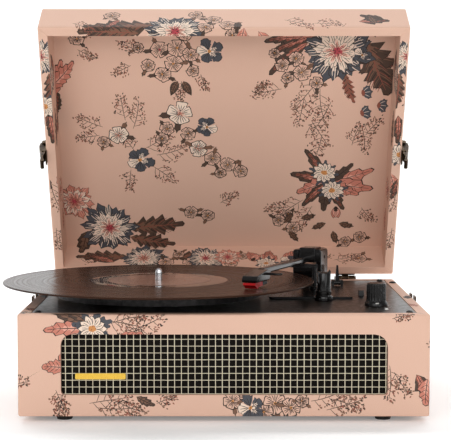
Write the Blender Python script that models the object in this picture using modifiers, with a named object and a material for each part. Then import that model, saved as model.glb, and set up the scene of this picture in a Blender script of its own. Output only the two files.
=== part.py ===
"""Suitcase record player: a wrapped case with a hinged lid, belt-driven platter, tonearm and speakers.

Built in the case's own frame (x = 0 on its centre line, y = 0 on its front face, z = 0 on the
table) under an empty that puts the middle of the whole object's footprint at the origin.
Metres, +Z up.
"""

from math import asin, cos, pi, radians, sin

import bmesh
import bpy
from mathutils import Matrix, Vector

MM = 0.001

# ---------------------------------------------------------------- driving dimensions
CASE_WIDTH = 368 * MM
CASE_DEPTH = 294 * MM
CASE_HEIGHT = 92 * MM
FOOT_HEIGHT = 6 * MM
CASE_WALL = 10.5 * MM
EDGE_ROUND = 1.6 * MM
GAP = 0.3 * MM                        # between pieces that touch
RIM_TOP = FOOT_HEIGHT + CASE_HEIGHT

LID_THICKNESS = 45.5 * MM
LID_WALL = 9.5 * MM
LID_PANEL = 4 * MM
LID_GAP = 2 * MM                      # rim to rim when shut, held by the rubber bumpers
LID_OPEN = radians(61.8)              # how far the lid stands open at rest
LID_RIM = RIM_TOP + LID_GAP
HINGE_OUT = 3.5 * MM                  # pin centre behind the rear face
HINGE_Y = CASE_DEPTH + HINGE_OUT
HINGE_Z = RIM_TOP + LID_GAP / 2
HINGE_X = 132 * MM

DECK_TOP = RIM_TOP - 0.6 * MM
DECK_THICKNESS = 2.4 * MM
DECK_UNDER = DECK_TOP - DECK_THICKNESS
BOTTOM_PANEL_UNDER = FOOT_HEIGHT + 2.3 * MM
BOTTOM_PANEL_THICKNESS = 4 * MM

PLATTER_X = -63.3 * MM
PLATTER_Y = 126.9 * MM
PLATTER_RADIUS = 100 * MM
PLATTER_TOP = 111.3 * MM
RECORD_RADIUS = 150.8 * MM            # a 12-inch record
RECORD_TOP = 115.4 * MM
DRIVE_RING_RADIUS = 80 * MM
PULLEY_RADIUS = 5 * MM
PULLEY_OFFSET = 88.5 * MM
PULLEY_ANGLE = radians(50)
BELT_THICKNESS = 0.8 * MM

ARM_X = 89.5 * MM
ARM_Y = 205 * MM
ARM_YAW = radians(-22.2)              # over the record; zero points straight to the front
ARM_REST_X = 96 * MM
ARM_REST_Y = 106 * MM
ARM_LIFT_Z = 131 * MM
ARM_TUBE_Z = 129.4 * MM
ARM_PLATE_TOP = DECK_TOP + 2.3 * MM

GRILLE_LEFT, GRILLE_RIGHT = -145.5 * MM, 146.5 * MM
GRILLE_LOW, GRILLE_HIGH = 25.5 * MM, 80 * MM
GRILLE_CORNERS = (3.5 * MM, 3.5 * MM, 12 * MM, 10 * MM)   # low left, low right, high right, high left
SPEAKER_X = 85 * MM
SPEAKER_Z = (GRILLE_LOW + GRILLE_HIGH) / 2

LATCH_Y = CASE_DEPTH / 2
LATCH_PIVOT_OUT = 4.2 * MM            # from the side wall's face
LATCH_PIVOT_Z = 121 * MM
LATCH_BULGE = 9 * MM

KNOB_X, KNOB_Y = 142 * MM, 63 * MM
SPEED_X, SPEED_Y = 135 * MM, 141 * MM
AUTOSTOP_X, AUTOSTOP_Y = 150 * MM, 168 * MM
CUE_X, CUE_Y, CUE_Z = 117 * MM, 213 * MM, 103 * MM
LIFT_RADIUS = 32 * MM
HANDLE_X, HANDLE_OUT, HANDLE_Z = 50 * MM, 7.5 * MM, 70 * MM
JACK_X, JACK_Z = 118 * MM, 45 * MM

# The lid's rear top edge is the rearmost point, the record's edge the front and left most.
LID_TOP = LID_RIM + LID_THICKNESS
REARMOST = HINGE_Y - HINGE_OUT * cos(LID_OPEN) + (LID_TOP - HINGE_Z) * sin(LID_OPEN)
FRONTMOST = PLATTER_Y - RECORD_RADIUS
LEFTMOST = PLATTER_X - RECORD_RADIUS
RIGHTMOST = CASE_WIDTH / 2 + LATCH_BULGE
CASE_ORIGIN = (-(LEFTMOST + RIGHTMOST) / 2, -(FRONTMOST + REARMOST) / 2, 0)

# ---------------------------------------------------------------- materials
MATERIALS = {
    "wrap": ((0.72, 0.47, 0.36), 0.55, 0.0),
    "black_plastic": ((0.012, 0.012, 0.013), 0.38, 0.0),
    "deck": ((0.02, 0.017, 0.016), 0.45, 0.0),
    "rubber": ((0.015, 0.015, 0.015), 0.8, 0.0),
    "cloth": ((0.05, 0.045, 0.04), 0.9, 0.0),
    "board": ((0.35, 0.24, 0.14), 0.8, 0.0),
    "steel": ((0.55, 0.55, 0.56), 0.35, 1.0),
    "chrome": ((0.8, 0.8, 0.82), 0.12, 1.0),
    "bronze": ((0.11, 0.08, 0.045), 0.4, 1.0),
    "gold": ((0.75, 0.55, 0.15), 0.3, 1.0),
    "vinyl": ((0.01, 0.009, 0.009), 0.15, 0.0),
    "felt": ((0.03, 0.03, 0.03), 0.95, 0.0),
    "paper_cone": ((0.03, 0.03, 0.03), 0.85, 0.0),
    "stylus_red": ((0.6, 0.01, 0.03), 0.3, 0.0),
    "circuit": ((0.02, 0.16, 0.06), 0.45, 0.0),
}


def material(name):
    found = bpy.data.materials.get(name)
    if found:
        return found
    colour, roughness, metallic = MATERIALS[name]
    made = bpy.data.materials.new(name)
    made.use_nodes = True
    shader = made.node_tree.nodes["Principled BSDF"]
    shader.inputs["Base Color"].default_value = (*colour, 1)
    shader.inputs["Roughness"].default_value = roughness
    shader.inputs["Metallic"].default_value = metallic
    return made


# ---------------------------------------------------------------- modelling helpers
for old in list(bpy.data.objects):
    bpy.data.objects.remove(old, do_unlink=True)

PARTS = bpy.data.collections.new("suitcase_record_player")
CUTTERS = bpy.data.collections.new("cutters")
bpy.context.scene.collection.children.link(PARTS)
bpy.context.scene.collection.children.link(CUTTERS)

# Turns local +Z to each direction.
TURN = {"Z": (0, 0, 0), "Y": (-pi / 2, 0, 0), "-Y": (pi / 2, 0, 0), "X": (0, pi / 2, 0)}


def empty(name, location=(0, 0, 0), parent=None, rotation=(0, 0, 0)):
    made = bpy.data.objects.new(name, None)
    made.empty_display_size = 0.02
    made.location = location
    made.rotation_euler = rotation
    made.parent = parent
    PARTS.objects.link(made)
    return made


def add(name, mesh, parent, slot, location=(0, 0, 0), rotation=(0, 0, 0)):
    mesh.materials.append(material(slot))
    made = bpy.data.objects.new(name, mesh)
    made.location = location
    made.rotation_euler = rotation
    made.parent = parent
    PARTS.objects.link(made)
    return made


def from_bmesh(name, bm, parent, slot, location=(0, 0, 0), rotation=(0, 0, 0)):
    mesh = bpy.data.meshes.new(name)
    bm.to_mesh(mesh)
    bm.free()
    return add(name, mesh, parent, slot, location, rotation)


def bevel(piece, width, segments=2, angle=radians(40)):
    rounding = piece.modifiers.new("round_edges", "BEVEL")
    rounding.width = width
    rounding.segments = segments
    rounding.limit_method = "ANGLE"
    rounding.angle_limit = angle
    rounding.use_clamp_overlap = True
    return piece


def box(name, low, high, parent, slot):
    """A box between two corners, with its origin in its middle."""
    low, high = Vector(low), Vector(high)
    bm = bmesh.new()
    bmesh.ops.create_cube(bm, size=1, matrix=Matrix.Diagonal((*(high - low), 1)))
    return from_bmesh(name, bm, parent, slot, (low + high) / 2)


def rod(name, radius, low, high, parent, slot, axis="Z", sides=24):
    """A cylinder along an axis; low and high are the centres of its ends."""
    low, high = Vector(low), Vector(high)
    bm = bmesh.new()
    bmesh.ops.create_cone(
        bm, cap_ends=True, segments=sides, radius1=radius, radius2=radius, depth=(high - low).length
    )
    made = from_bmesh(name, bm, parent, slot, (low + high) / 2, TURN[axis])
    made.data.shade_smooth()
    made.data.set_sharp_from_angle(angle=radians(40))
    return made


def turned(name, profile, parent, slot, location=(0, 0, 0), axis="Z", sides=48, ring=False):
    """A turned piece. The profile's (radius, height) points run down its outer side from the top.

    A ring's profile is a loop: down the outside, then back up the bore.
    """
    count = len(profile)
    edges = [(i, i + 1) for i in range(count - 1)]
    if ring:
        edges.append((count - 1, 0))
    mesh = bpy.data.meshes.new(name)
    mesh.from_pydata([(radius, 0, height) for radius, height in profile], edges, [])
    made = add(name, mesh, parent, slot, location, TURN[axis])
    screw = made.modifiers.new("turn", "SCREW")
    screw.steps = screw.render_steps = sides
    screw.use_merge_vertices = True
    screw.merge_threshold = 0.00001
    screw.use_smooth_shade = True
    return made


def arc(centre, radius, start, end, count):
    """Points along an arc, both ends included."""
    return [
        (centre[0] + radius * cos(start + (end - start) * i / count),
         centre[1] + radius * sin(start + (end - start) * i / count))
        for i in range(count + 1)
    ]


def rounded_rectangle(left, right, low, high, radii, count=4):
    """A rectangle with its own radius at each corner: low left, low right, high right, high left."""
    low_left, low_right, high_right, high_left = radii
    return (
        arc((left + low_left, low + low_left), low_left, pi, 1.5 * pi, count)
        + arc((right - low_right, low + low_right), low_right, -pi / 2, 0, count)
        + arc((right - high_right, high - high_right), high_right, 0, pi / 2, count)
        + arc((left + high_left, high - high_left), high_left, pi / 2, pi, count)
    )


# How an outline drawn in (a, b) stands: extruded along +Z, +Y (a = x, b = z) or +X (a = y, b = z).
FLAT = (0, 0, 0)
FACING_Y = (pi / 2, 0, 0)
FACING_X = (pi / 2, 0, pi / 2)


def extruded(name, outline, thickness, parent, slot, location=(0, 0, 0), rotation=FLAT, holes=()):
    """A flat outline, and any holes in it, extruded half its thickness each way."""
    curve = bpy.data.curves.new(name, "CURVE")
    curve.dimensions = "2D"
    curve.fill_mode = "BOTH"
    curve.extrude = thickness / 2
    for points in (outline, *holes):
        spline = curve.splines.new("POLY")
        spline.points.add(len(points) - 1)
        for point, (a, b) in zip(spline.points, points):
            point.co = (a, b, 0, 1)
        spline.use_cyclic_u = True
    return curve_to_mesh(name, curve, parent, slot, location, rotation)


def curve_to_mesh(name, curve, parent, slot, location, rotation):
    guide = bpy.data.objects.new(name + "_guide", curve)
    PARTS.objects.link(guide)
    bpy.context.view_layer.update()
    evaluated = guide.evaluated_get(bpy.context.evaluated_depsgraph_get())
    mesh = bpy.data.meshes.new_from_object(evaluated)
    bpy.data.objects.remove(guide, do_unlink=True)
    mesh.materials.clear()
    bm = bmesh.new()
    bm.from_mesh(mesh)
    bmesh.ops.remove_doubles(bm, verts=bm.verts, dist=0.00001)
    bmesh.ops.recalc_face_normals(bm, faces=bm.faces)
    bm.to_mesh(mesh)
    bm.free()
    return add(name, mesh, parent, slot, location, rotation)


def tool(piece):
    """Keeps a cutter, or a shape to be joined, out of the finished object."""
    piece.hide_render = True
    piece.display_type = "WIRE"
    for home in list(piece.users_collection):
        home.objects.unlink(piece)
    CUTTERS.objects.link(piece)
    return piece


def boolean(piece, other, operation):
    change = piece.modifiers.new(operation.lower(), "BOOLEAN")
    change.operation = operation
    change.solver = "EXACT"
    change.object = tool(other)
    return piece


def cut(piece, *others):
    for other in others:
        boolean(piece, other, "DIFFERENCE")
    return piece


def join(piece, *others):
    for other in others:
        boolean(piece, other, "UNION")
    return piece


# ---------------------------------------------------------------- case
def make_case(case):
    half = CASE_WIDTH / 2
    inside = half - CASE_WALL
    body = box("case_body", (-half, 0, FOOT_HEIGHT), (half, CASE_DEPTH, RIM_TOP), case, "wrap")
    bevel(body, EDGE_ROUND)
    margin = 2 * MM
    cut(body, box("case_hollow", (-inside, CASE_WALL, FOOT_HEIGHT - margin),
                  (inside, CASE_DEPTH - CASE_WALL, RIM_TOP + margin), case, "wrap"))
    opening = rounded_rectangle(GRILLE_LEFT, GRILLE_RIGHT, GRILLE_LOW, GRILLE_HIGH, GRILLE_CORNERS)
    cut(body, extruded("grille_opening", opening, 3 * CASE_WALL, case, "wrap", rotation=FACING_Y))
    jack_hole = box("jack_opening", (JACK_X - 42 * MM, CASE_DEPTH - 2 * CASE_WALL, JACK_Z - 15 * MM),
                    (JACK_X + 42 * MM, CASE_DEPTH + CASE_WALL, JACK_Z + 15 * MM), case, "wrap")
    cut(body, jack_hole)

    post = 12 * MM
    post_low = BOTTOM_PANEL_UNDER + BOTTOM_PANEL_THICKNESS + GAP
    for side in (-1, 1):
        for end, y_wall in ((1, CASE_WALL), (-1, CASE_DEPTH - CASE_WALL)):
            xs = sorted((side * (inside - post), side * (inside + 1 * MM)))
            ys = sorted((y_wall + end * post, y_wall - end * 1 * MM))
            join(body, box("corner_post", (xs[0], ys[0], post_low),
                           (xs[1], ys[1], DECK_UNDER - GAP), case, "wrap"))

    slack = GAP
    box("bottom_panel", (-inside + slack, CASE_WALL + slack, BOTTOM_PANEL_UNDER),
        (inside - slack, CASE_DEPTH - CASE_WALL - slack, BOTTOM_PANEL_UNDER + BOTTOM_PANEL_THICKNESS),
        case, "board")

    deck = box("deck_plate", (-inside + slack, CASE_WALL + slack, DECK_UNDER),
               (inside - slack, CASE_DEPTH - CASE_WALL - slack, DECK_TOP), case, "deck")
    holes = [
        (PLATTER_X, PLATTER_Y, 5 * MM),
        (*pulley_centre(), 3 * MM),
        (*lift_post(), 3.2 * MM),
        (KNOB_X, KNOB_Y, 4 * MM),
    ]
    screw_spots = [(side * (inside - 6 * MM), y) for side in (-1, 1)
                   for y in (CASE_WALL + 6 * MM, CASE_DEPTH - CASE_WALL - 6 * MM)]
    for x, y in screw_spots:
        holes.append((x, y, 1.9 * MM))
        cut(body, rod("screw_hole", 1.9 * MM, (x, y, DECK_UNDER - 14 * MM), (x, y, DECK_TOP),
                      case, "wrap", sides=12))
    for x, y, radius in holes:
        cut(deck, rod("deck_hole", radius, (x, y, DECK_UNDER - margin), (x, y, DECK_TOP + margin),
                      case, "deck", sides=20))
    for x, y in ((SPEED_X, SPEED_Y), (AUTOSTOP_X, AUTOSTOP_Y)):
        cut(deck, box("deck_slot", (x - 1.9 * MM, y - 9.5 * MM, DECK_UNDER - margin),
                      (x + 1.9 * MM, y + 9.5 * MM, DECK_TOP + margin), case, "deck"))

    head = 3.4 * MM
    crown = arc((0, DECK_TOP + GAP), head, pi / 2, 0, 4)
    squash = 0.55
    screw = [(0, DECK_TOP + GAP + head * squash)]
    screw += [(r, DECK_TOP + GAP + (z - DECK_TOP - GAP) * squash) for r, z in crown[1:]]
    screw += [(1.5 * MM, DECK_TOP + GAP), (1.5 * MM, DECK_UNDER - 9 * MM), (0, DECK_UNDER - 11 * MM)]
    for number, (x, y) in enumerate(screw_spots, 1):
        turned(f"deck_screw_{number}", screw, case, "black_plastic", (x, y, 0), sides=16)

    foot_top = BOTTOM_PANEL_UNDER - GAP
    foot = [(0, foot_top), (7.6 * MM, foot_top), (7.6 * MM, 2 * MM), (6.8 * MM, 0), (0, 0)]
    for side, across in (("left", -1), ("right", 1)):
        for end, y in (("front", 22 * MM), ("rear", CASE_DEPTH - 22 * MM)):
            turned(f"foot_{end}_{side}", foot, case, "rubber", (across * 144.5 * MM, y, 0), sides=24)
        bumper = [(0, 1.6 * MM), (2 * MM, 1.5 * MM), (3.4 * MM, 0.8 * MM), (3.6 * MM, 0), (0, 0)]
        turned(f"rim_bumper_{side}", bumper, case, "rubber",
               (across * (half - 5.3 * MM), 252 * MM, RIM_TOP + GAP), sides=20)
        make_catch(case, side, across)
        make_base_hinge(case, side, across)


def make_catch(case, side, across):
    """The ledge on the case's side that the lid's latch hooks under."""
    wall = CASE_WIDTH / 2 + GAP
    outline = [(0, 84), (1.2, 84), (1.2, 90), (5, 92), (5, 97), (3.8, 97), (3.8, 93.6), (1.2, 93.2),
               (1.2, 99.6), (0, 99.6)]
    points = [(across * (wall + out * MM), z * MM) for out, z in outline]
    extruded(f"base_catch_{side}", points, 14 * MM, case, "bronze", (0, LATCH_Y, 0), FACING_Y)


# ---------------------------------------------------------------- hinges
LEAF_WIDTH = 21 * MM
LEAF_THICKNESS = 1.2 * MM
LEAF_LENGTH = 17 * MM
KNUCKLE_RADIUS = 2.4 * MM
KNUCKLE_BORE = 1.25 * MM
PIN_RADIUS = 0.9 * MM
MIDDLE_KNUCKLE = 7.2 * MM


def make_leaf(name, parent, across, direction, knuckles):
    """One hinge leaf, drawn from its pin: the plate goes up (+1) or down (-1), knuckles as given."""
    x, y, z = across * HINGE_X, HINGE_Y, HINGE_Z
    face = y - HINGE_OUT + GAP
    near, far = sorted((z + direction * 2 * MM, z + direction * (2 * MM + LEAF_LENGTH)))
    leaf = box(name, (x - LEAF_WIDTH / 2, face, near), (x + LEAF_WIDTH / 2, face + LEAF_THICKNESS, far),
               parent, "bronze")
    for start, end in knuckles:
        low, high = sorted((z + direction * 0.6 * MM, z + direction * 2.8 * MM))
        join(leaf, box("tab", (x + start, face, low), (x + end, y - 0.5 * MM, high), parent, "bronze"))
        join(leaf, rod("knuckle", KNUCKLE_RADIUS, (x + start, y, z), (x + end, y, z),
                       parent, "bronze", "X", 20))
    cut(leaf, rod("pin_bore", KNUCKLE_BORE, (x - LEAF_WIDTH, y, z), (x + LEAF_WIDTH, y, z),
                  parent, "bronze", "X", 16))
    return leaf


def make_base_hinge(case, side, across):
    edge, middle = LEAF_WIDTH / 2, MIDDLE_KNUCKLE / 2 + GAP
    make_leaf(f"base_hinge_leaf_{side}", case, across, -1, [(-edge, -middle), (middle, edge)])
    reach = edge + GAP
    head = reach + 0.9 * MM
    pin = [(0, head), (1.7 * MM, head), (1.7 * MM, reach), (PIN_RADIUS, reach),
           (PIN_RADIUS, -reach), (1.7 * MM, -reach), (1.7 * MM, -head), (0, -head)]
    turned(f"hinge_pin_{side}", pin, case, "steel", (across * HINGE_X, HINGE_Y, HINGE_Z), "X", 16)


# ---------------------------------------------------------------- lid
def make_lid(case):
    pivot = empty("lid_pivot", (0, HINGE_Y, HINGE_Z), case, (-LID_OPEN, 0, 0))
    shut = empty("lid_as_shut", (0, -HINGE_Y, -HINGE_Z), pivot)
    half = CASE_WIDTH / 2
    lid = box("lid_shell", (-half, 0, LID_RIM), (half, CASE_DEPTH, LID_TOP), shut, "wrap")
    bevel(lid, EDGE_ROUND)
    inside = half - LID_WALL
    cut(lid, box("lid_hollow", (-inside, LID_WALL, LID_RIM - 5 * MM),
                 (inside, CASE_DEPTH - LID_WALL, LID_TOP - LID_PANEL), shut, "wrap"))
    middle = MIDDLE_KNUCKLE / 2
    for side, across in (("left", -1), ("right", 1)):
        make_leaf(f"lid_hinge_leaf_{side}", shut, across, 1, [(-middle, middle)])
        make_latch(shut, side, across)


def make_latch(shut, side, across):
    """An angle plate on the lid's side and rim, and the lever that hinges on it."""
    wall = CASE_WIDTH / 2 + GAP
    rim_under = LID_RIM - GAP
    angle = [(-9 * MM, rim_under - 0.9 * MM), (1.2 * MM, rim_under - 0.9 * MM), (1.2 * MM, 128 * MM),
             (0, 128 * MM), (0, rim_under), (-9 * MM, rim_under)]
    plate = extruded(f"latch_plate_{side}", [(across * (wall + a), b) for a, b in angle], 17 * MM,
                     shut, "bronze", (0, LATCH_Y, 0), FACING_Y)
    pivot_x = across * (CASE_WIDTH / 2 + LATCH_PIVOT_OUT)
    lug = [(1.0, 117.5), (4.4, 118.3)]
    top = arc((LATCH_PIVOT_OUT / MM - 0.3, LATCH_PIVOT_Z / MM), 2.4, -pi / 4, pi / 2, 4)
    lug = lug + top + [(1.0, 125)]
    for end in (-1, 1):
        join(plate, extruded("lug", [(across * (wall + a * MM), b * MM) for a, b in lug], 1.5 * MM,
                             shut, "bronze", (0, LATCH_Y + end * 6.3 * MM, 0), FACING_Y))
    cut(plate, rod("lug_bore", 1.25 * MM, (pivot_x, LATCH_Y - 10 * MM, LATCH_PIVOT_Z),
                   (pivot_x, LATCH_Y + 10 * MM, LATCH_PIVOT_Z), shut, "bronze", "Y", 16))

    pivot = empty(f"latch_pivot_{side}", (pivot_x, LATCH_Y, LATCH_PIVOT_Z), shut)
    outer = [(1.9, 3), (4.3, 0), (4.8, -6), (4.1, -12), (1.6, -20), (0.6, -27), (1.0, -33)]
    ball = arc((-0.9, -35), 2, 0.3 * pi, -1.1 * pi, 8)
    inner = [(-1.5, -31), (-0.9, -26), (-2.4, -20.5), (-2.4, -17), (-1.9, -13)]
    crown = arc((0, 0), 2.2, 0.9 * pi, 0.35 * pi, 4)
    outline = outer + ball + inner + [(-1.9, -6)] + crown
    ring = arc((-0.2, -17), 1.5, 0, 2 * pi, 10)[:-1]
    lever = extruded(f"latch_lever_{side}", [(across * a * MM, b * MM) for a, b in outline], 9.6 * MM,
                     pivot, "bronze", (0, 0, 0), FACING_Y, [[(across * a * MM, b * MM) for a, b in ring]])
    join(lever, rod("latch_pin", 1 * MM, (0, -7 * MM, 0), (0, 7 * MM, 0), pivot, "bronze", "Y", 12))


# ---------------------------------------------------------------- front grille and speakers
def make_grille(case):
    shrink = GAP
    outline = rounded_rectangle(GRILLE_LEFT + shrink, GRILLE_RIGHT - shrink, GRILLE_LOW + shrink,
                                GRILLE_HIGH - shrink, GRILLE_CORNERS)
    cloth_front, cloth_back = 3.4 * MM, 4.2 * MM
    extruded("grille_cloth", outline, cloth_back - cloth_front, case, "cloth",
             (0, (cloth_front + cloth_back) / 2, 0), FACING_Y)
    plug_front, plug_back = cloth_back + GAP, CASE_WALL + 1 * MM
    baffle = extruded("speaker_baffle", outline, plug_back - plug_front, case, "board",
                      (0, (plug_front + plug_back) / 2, 0), FACING_Y)
    flange_front, flange_back = CASE_WALL + GAP, CASE_WALL + 4 * MM
    join(baffle, box("baffle_flange", (GRILLE_LEFT - 8 * MM, flange_front, GRILLE_LOW - 8 * MM),
                     (GRILLE_RIGHT + 8 * MM, flange_back, GRILLE_HIGH + 8 * MM), case, "board"))
    for side, across in (("left", -1), ("right", 1)):
        x = across * SPEAKER_X
        cut(baffle, rod("speaker_hole", 23 * MM, (x, 0, SPEAKER_Z), (x, 2 * CASE_WALL, SPEAKER_Z),
                        case, "board", "Y", 32))
        make_speaker(case, side, x, flange_back + GAP)

    badge = rounded_rectangle(-132.8 * MM, -87.7 * MM, 39.3 * MM, 44.7 * MM, (1 * MM,) * 4, 3)
    extruded("badge_bar", badge, 1.2 * MM, case, "gold", (0, cloth_front - GAP - 0.6 * MM, 0), FACING_Y)


def make_speaker(case, side, x, front):
    """Basket and magnet in one turned piece, open to the front, with the paper cone inside it."""
    basket = [(0, -20), (12, -19), (13, -17.5), (23, -1.8), (23, 0), (31, 0), (31, -2.2), (26, -2.6),
              (16, -19), (16, -31), (0, -31)]
    cone = [(0, -10.5), (5, -11.3), (8, -14), (21.5, -2.2), (22.4, -0.6), (22.4, -2.2), (9, -16),
            (0, -16)]
    for name, profile, slot in (("frame", basket, "steel"), ("cone", cone, "paper_cone")):
        turned(f"speaker_{name}_{side}", [(r * MM, z * MM) for r, z in profile], case, slot,
               (x, front, SPEAKER_Z), "-Y", 28)


# ---------------------------------------------------------------- platter and its drive
def pulley_centre():
    return (PLATTER_X + PULLEY_OFFSET * cos(PULLEY_ANGLE), PLATTER_Y + PULLEY_OFFSET * sin(PULLEY_ANGLE))


def belt_outline(ring_radius, pulley_radius):
    """The tight loop round two circles, the pulley's centre at PULLEY_OFFSET from the ring's."""
    lean = asin((ring_radius - pulley_radius) / PULLEY_OFFSET)
    tangent = pi / 2 - lean
    big = arc((0, 0), ring_radius, tangent, 2 * pi - tangent, 56)
    small = arc((PULLEY_OFFSET, 0), pulley_radius, -tangent, tangent, 8)
    return big + small


def make_drive(case):
    axis = empty("platter_axis", (PLATTER_X, PLATTER_Y, 0), case)
    platter = [(98.5, 111.3), (100, 109.8), (100, 101.5), (97.5, 101.5), (97.5, 107.8), (80, 107.8),
               (80, 99.6), (77, 99.6), (77, 107.8), (10, 107.8), (10, 99), (3.95, 99), (3.95, 111.3)]
    turned("platter", [(r * MM, z * MM) for r, z in platter], axis, "steel", sides=64, ring=True)
    mat_low = PLATTER_TOP + GAP
    mat = [(97 * MM, mat_low + 1.5 * MM), (97 * MM, mat_low), (3.95 * MM, mat_low),
           (3.95 * MM, mat_low + 1.5 * MM)]
    turned("slip_mat", mat, axis, "felt", sides=64, ring=True)
    record = [(50, 0), (52, -0.3), (146, -0.3), (148, 0), (150.2, -0.2), (150.8, -1), (150.2, -1.8),
              (148, -2), (3.7, -2), (3.7, 0)]
    turned("record", [(r * MM, RECORD_TOP + z * MM) for r, z in record], axis, "vinyl", sides=96, ring=True)

    spindle = [(0, 127), (1.6, 126.7), (2.9, 125.2), (3.5, 122.5), (3.5, 94.7), (12, 94.7), (12, 91.5),
               (4.5, 91.5), (4.5, 84), (0, 84)]
    turned("spindle", [(r * MM, z * MM) for r, z in spindle], case, "chrome", (PLATTER_X, PLATTER_Y, 0),
           sides=24)

    pulley_axis = empty("pulley_axis", (*pulley_centre(), 0), case)
    pulley = [(0, 106), (5.6, 106), (5.6, 105.2), (5, 104.8), (5, 100), (5.6, 99.6), (5.6, 98.8),
              (1, 98.8), (1, 93), (0, 93)]
    turned("motor_pulley", [(r * MM, z * MM) for r, z in pulley], pulley_axis, "steel", sides=24)
    motor = [(0, 92.6), (4, 92.6), (4, 91), (14, 91), (15, 90), (15, 62), (14, 61), (0, 61)]
    turned("motor", [(r * MM, z * MM) for r, z in motor], case, "steel", (*pulley_centre(), 0), sides=28)

    inner = belt_outline(DRIVE_RING_RADIUS + GAP, PULLEY_RADIUS + GAP)
    outer = belt_outline(DRIVE_RING_RADIUS + GAP + BELT_THICKNESS, PULLEY_RADIUS + GAP + BELT_THICKNESS)
    extruded("drive_belt", outer, 3.6 * MM, case, "rubber", (PLATTER_X, PLATTER_Y, 102.4 * MM),
             (0, 0, PULLEY_ANGLE), [inner])


# ---------------------------------------------------------------- tonearm
def lift_post():
    turn = radians(3)
    return ARM_X + LIFT_RADIUS * sin(turn), ARM_Y - LIFT_RADIUS * cos(turn)


def make_tonearm(case):
    plate_left, plate_right, plate_front, plate_rear = 44 * MM, 125 * MM, 116.5 * MM, 276 * MM
    plate_low = DECK_TOP + GAP
    outline = rounded_rectangle(plate_left, plate_right, plate_front, plate_rear, (3 * MM,) * 4, 3)
    plate = extruded("arm_plate", outline, ARM_PLATE_TOP - plate_low, case, "black_plastic",
                     (0, 0, (ARM_PLATE_TOP + plate_low) / 2))
    tower = [(0, 108.6 * MM), (9.5 * MM, 108.6 * MM), (9.5 * MM, 105 * MM), (13 * MM, 100.5 * MM),
             (13.5 * MM, 98.5 * MM), (0, 98.5 * MM)]
    join(plate, turned("tower", tower, case, "black_plastic", (ARM_X, ARM_Y, 0), sides=32))
    guide_x, guide_y = lift_post()
    join(plate, rod("lift_guide", 5 * MM, (guide_x, guide_y, ARM_PLATE_TOP - 1 * MM),
                    (guide_x, guide_y, ARM_PLATE_TOP + 4 * MM), case, "black_plastic", sides=20))
    for end in (-1, 1):
        x = CUE_X + end * 4.6 * MM
        join(plate, box("cue_ear", (x - 1.1 * MM, CUE_Y - 3.5 * MM, ARM_PLATE_TOP - 1 * MM),
                        (x + 1.1 * MM, CUE_Y + 3.5 * MM, CUE_Z + 2.8 * MM), case, "black_plastic"))
    cut(plate,
        rod("tower_bore", 4.5 * MM, (ARM_X, ARM_Y, 101.5 * MM), (ARM_X, ARM_Y, 112 * MM), case,
            "black_plastic", sides=20),
        rod("guide_bore", 3 * MM, (guide_x, guide_y, 90 * MM), (guide_x, guide_y, 110 * MM), case,
            "black_plastic", sides=20),
        rod("cue_bore", 1.5 * MM, (CUE_X - 8 * MM, CUE_Y, CUE_Z), (CUE_X + 8 * MM, CUE_Y, CUE_Z), case,
            "black_plastic", "X", 16))

    make_arm_rest(case)
    swing = empty("arm_swing_axis", (ARM_X, ARM_Y, 0), case, (0, 0, ARM_YAW))
    yoke_outline = [(-8.6, 109), (8.6, 109), (14.3, 114.5), (14.3, 137.5), (13, 139), (8.6, 139), (8.6, 124),
                    (-10.1, 124), (-10.1, 138.6), (-14.5, 138.6), (-16.2, 136.5), (-16.2, 114.5)]
    yoke = extruded("arm_yoke", [(a * MM, b * MM) for a, b in yoke_outline], 21 * MM, swing,
                    "black_plastic", (0, 0, 0), FACING_Y)
    bevel(yoke, 0.7 * MM, 2, radians(50))
    join(yoke, rod("yoke_spigot", 4 * MM, (0, 0, 102 * MM), (0, 0, 110.5 * MM), swing, "black_plastic",
                   sides=20))
    cut(yoke, rod("yoke_bore", 1.8 * MM, (-20 * MM, 0, ARM_LIFT_Z), (20 * MM, 0, ARM_LIFT_Z), swing,
                  "black_plastic", "X", 16))
    make_arm(swing)

    half_sweep_low, half_sweep_high = radians(-90 - 46), radians(-90 + 8)
    bar = (arc((0, 0), LIFT_RADIUS + 2 * MM, half_sweep_low, half_sweep_high, 10)
           + arc((0, 0), LIFT_RADIUS - 2 * MM, half_sweep_high, half_sweep_low, 10))
    lift_axis = empty("lift_bar_axis", (ARM_X, ARM_Y, 0), case)
    lift = extruded("lift_bar", bar, 3.6 * MM, lift_axis, "black_plastic", (0, 0, 124 * MM))
    post_x, post_y = guide_x - ARM_X, guide_y - ARM_Y
    join(lift, rod("lift_post", 2.5 * MM, (post_x, post_y, 90 * MM), (post_x, post_y, 123.5 * MM),
                   lift_axis, "black_plastic", sides=16))

    cue_axis = empty("cue_axis", (CUE_X, CUE_Y, CUE_Z), case)
    hub = rod("cue_lever", 2.6 * MM, (-3.2 * MM, 0, 0), (3.2 * MM, 0, 0), cue_axis, "black_plastic", "X", 20)
    spike = [(-2.2 * MM, 0), (2.2 * MM, 0), (1.5 * MM, 10 * MM), (0.9 * MM, 18 * MM), (-0.9 * MM, 18 * MM),
             (-1.5 * MM, 10 * MM)]
    join(hub, extruded("cue_spike", spike, 2.8 * MM, cue_axis, "black_plastic", (0, 0, 0), FACING_Y))
    join(hub, rod("cue_pin", 1.2 * MM, (-6.4 * MM, 0, 0), (6.4 * MM, 0, 0), cue_axis, "black_plastic",
                  "X", 12))


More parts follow.
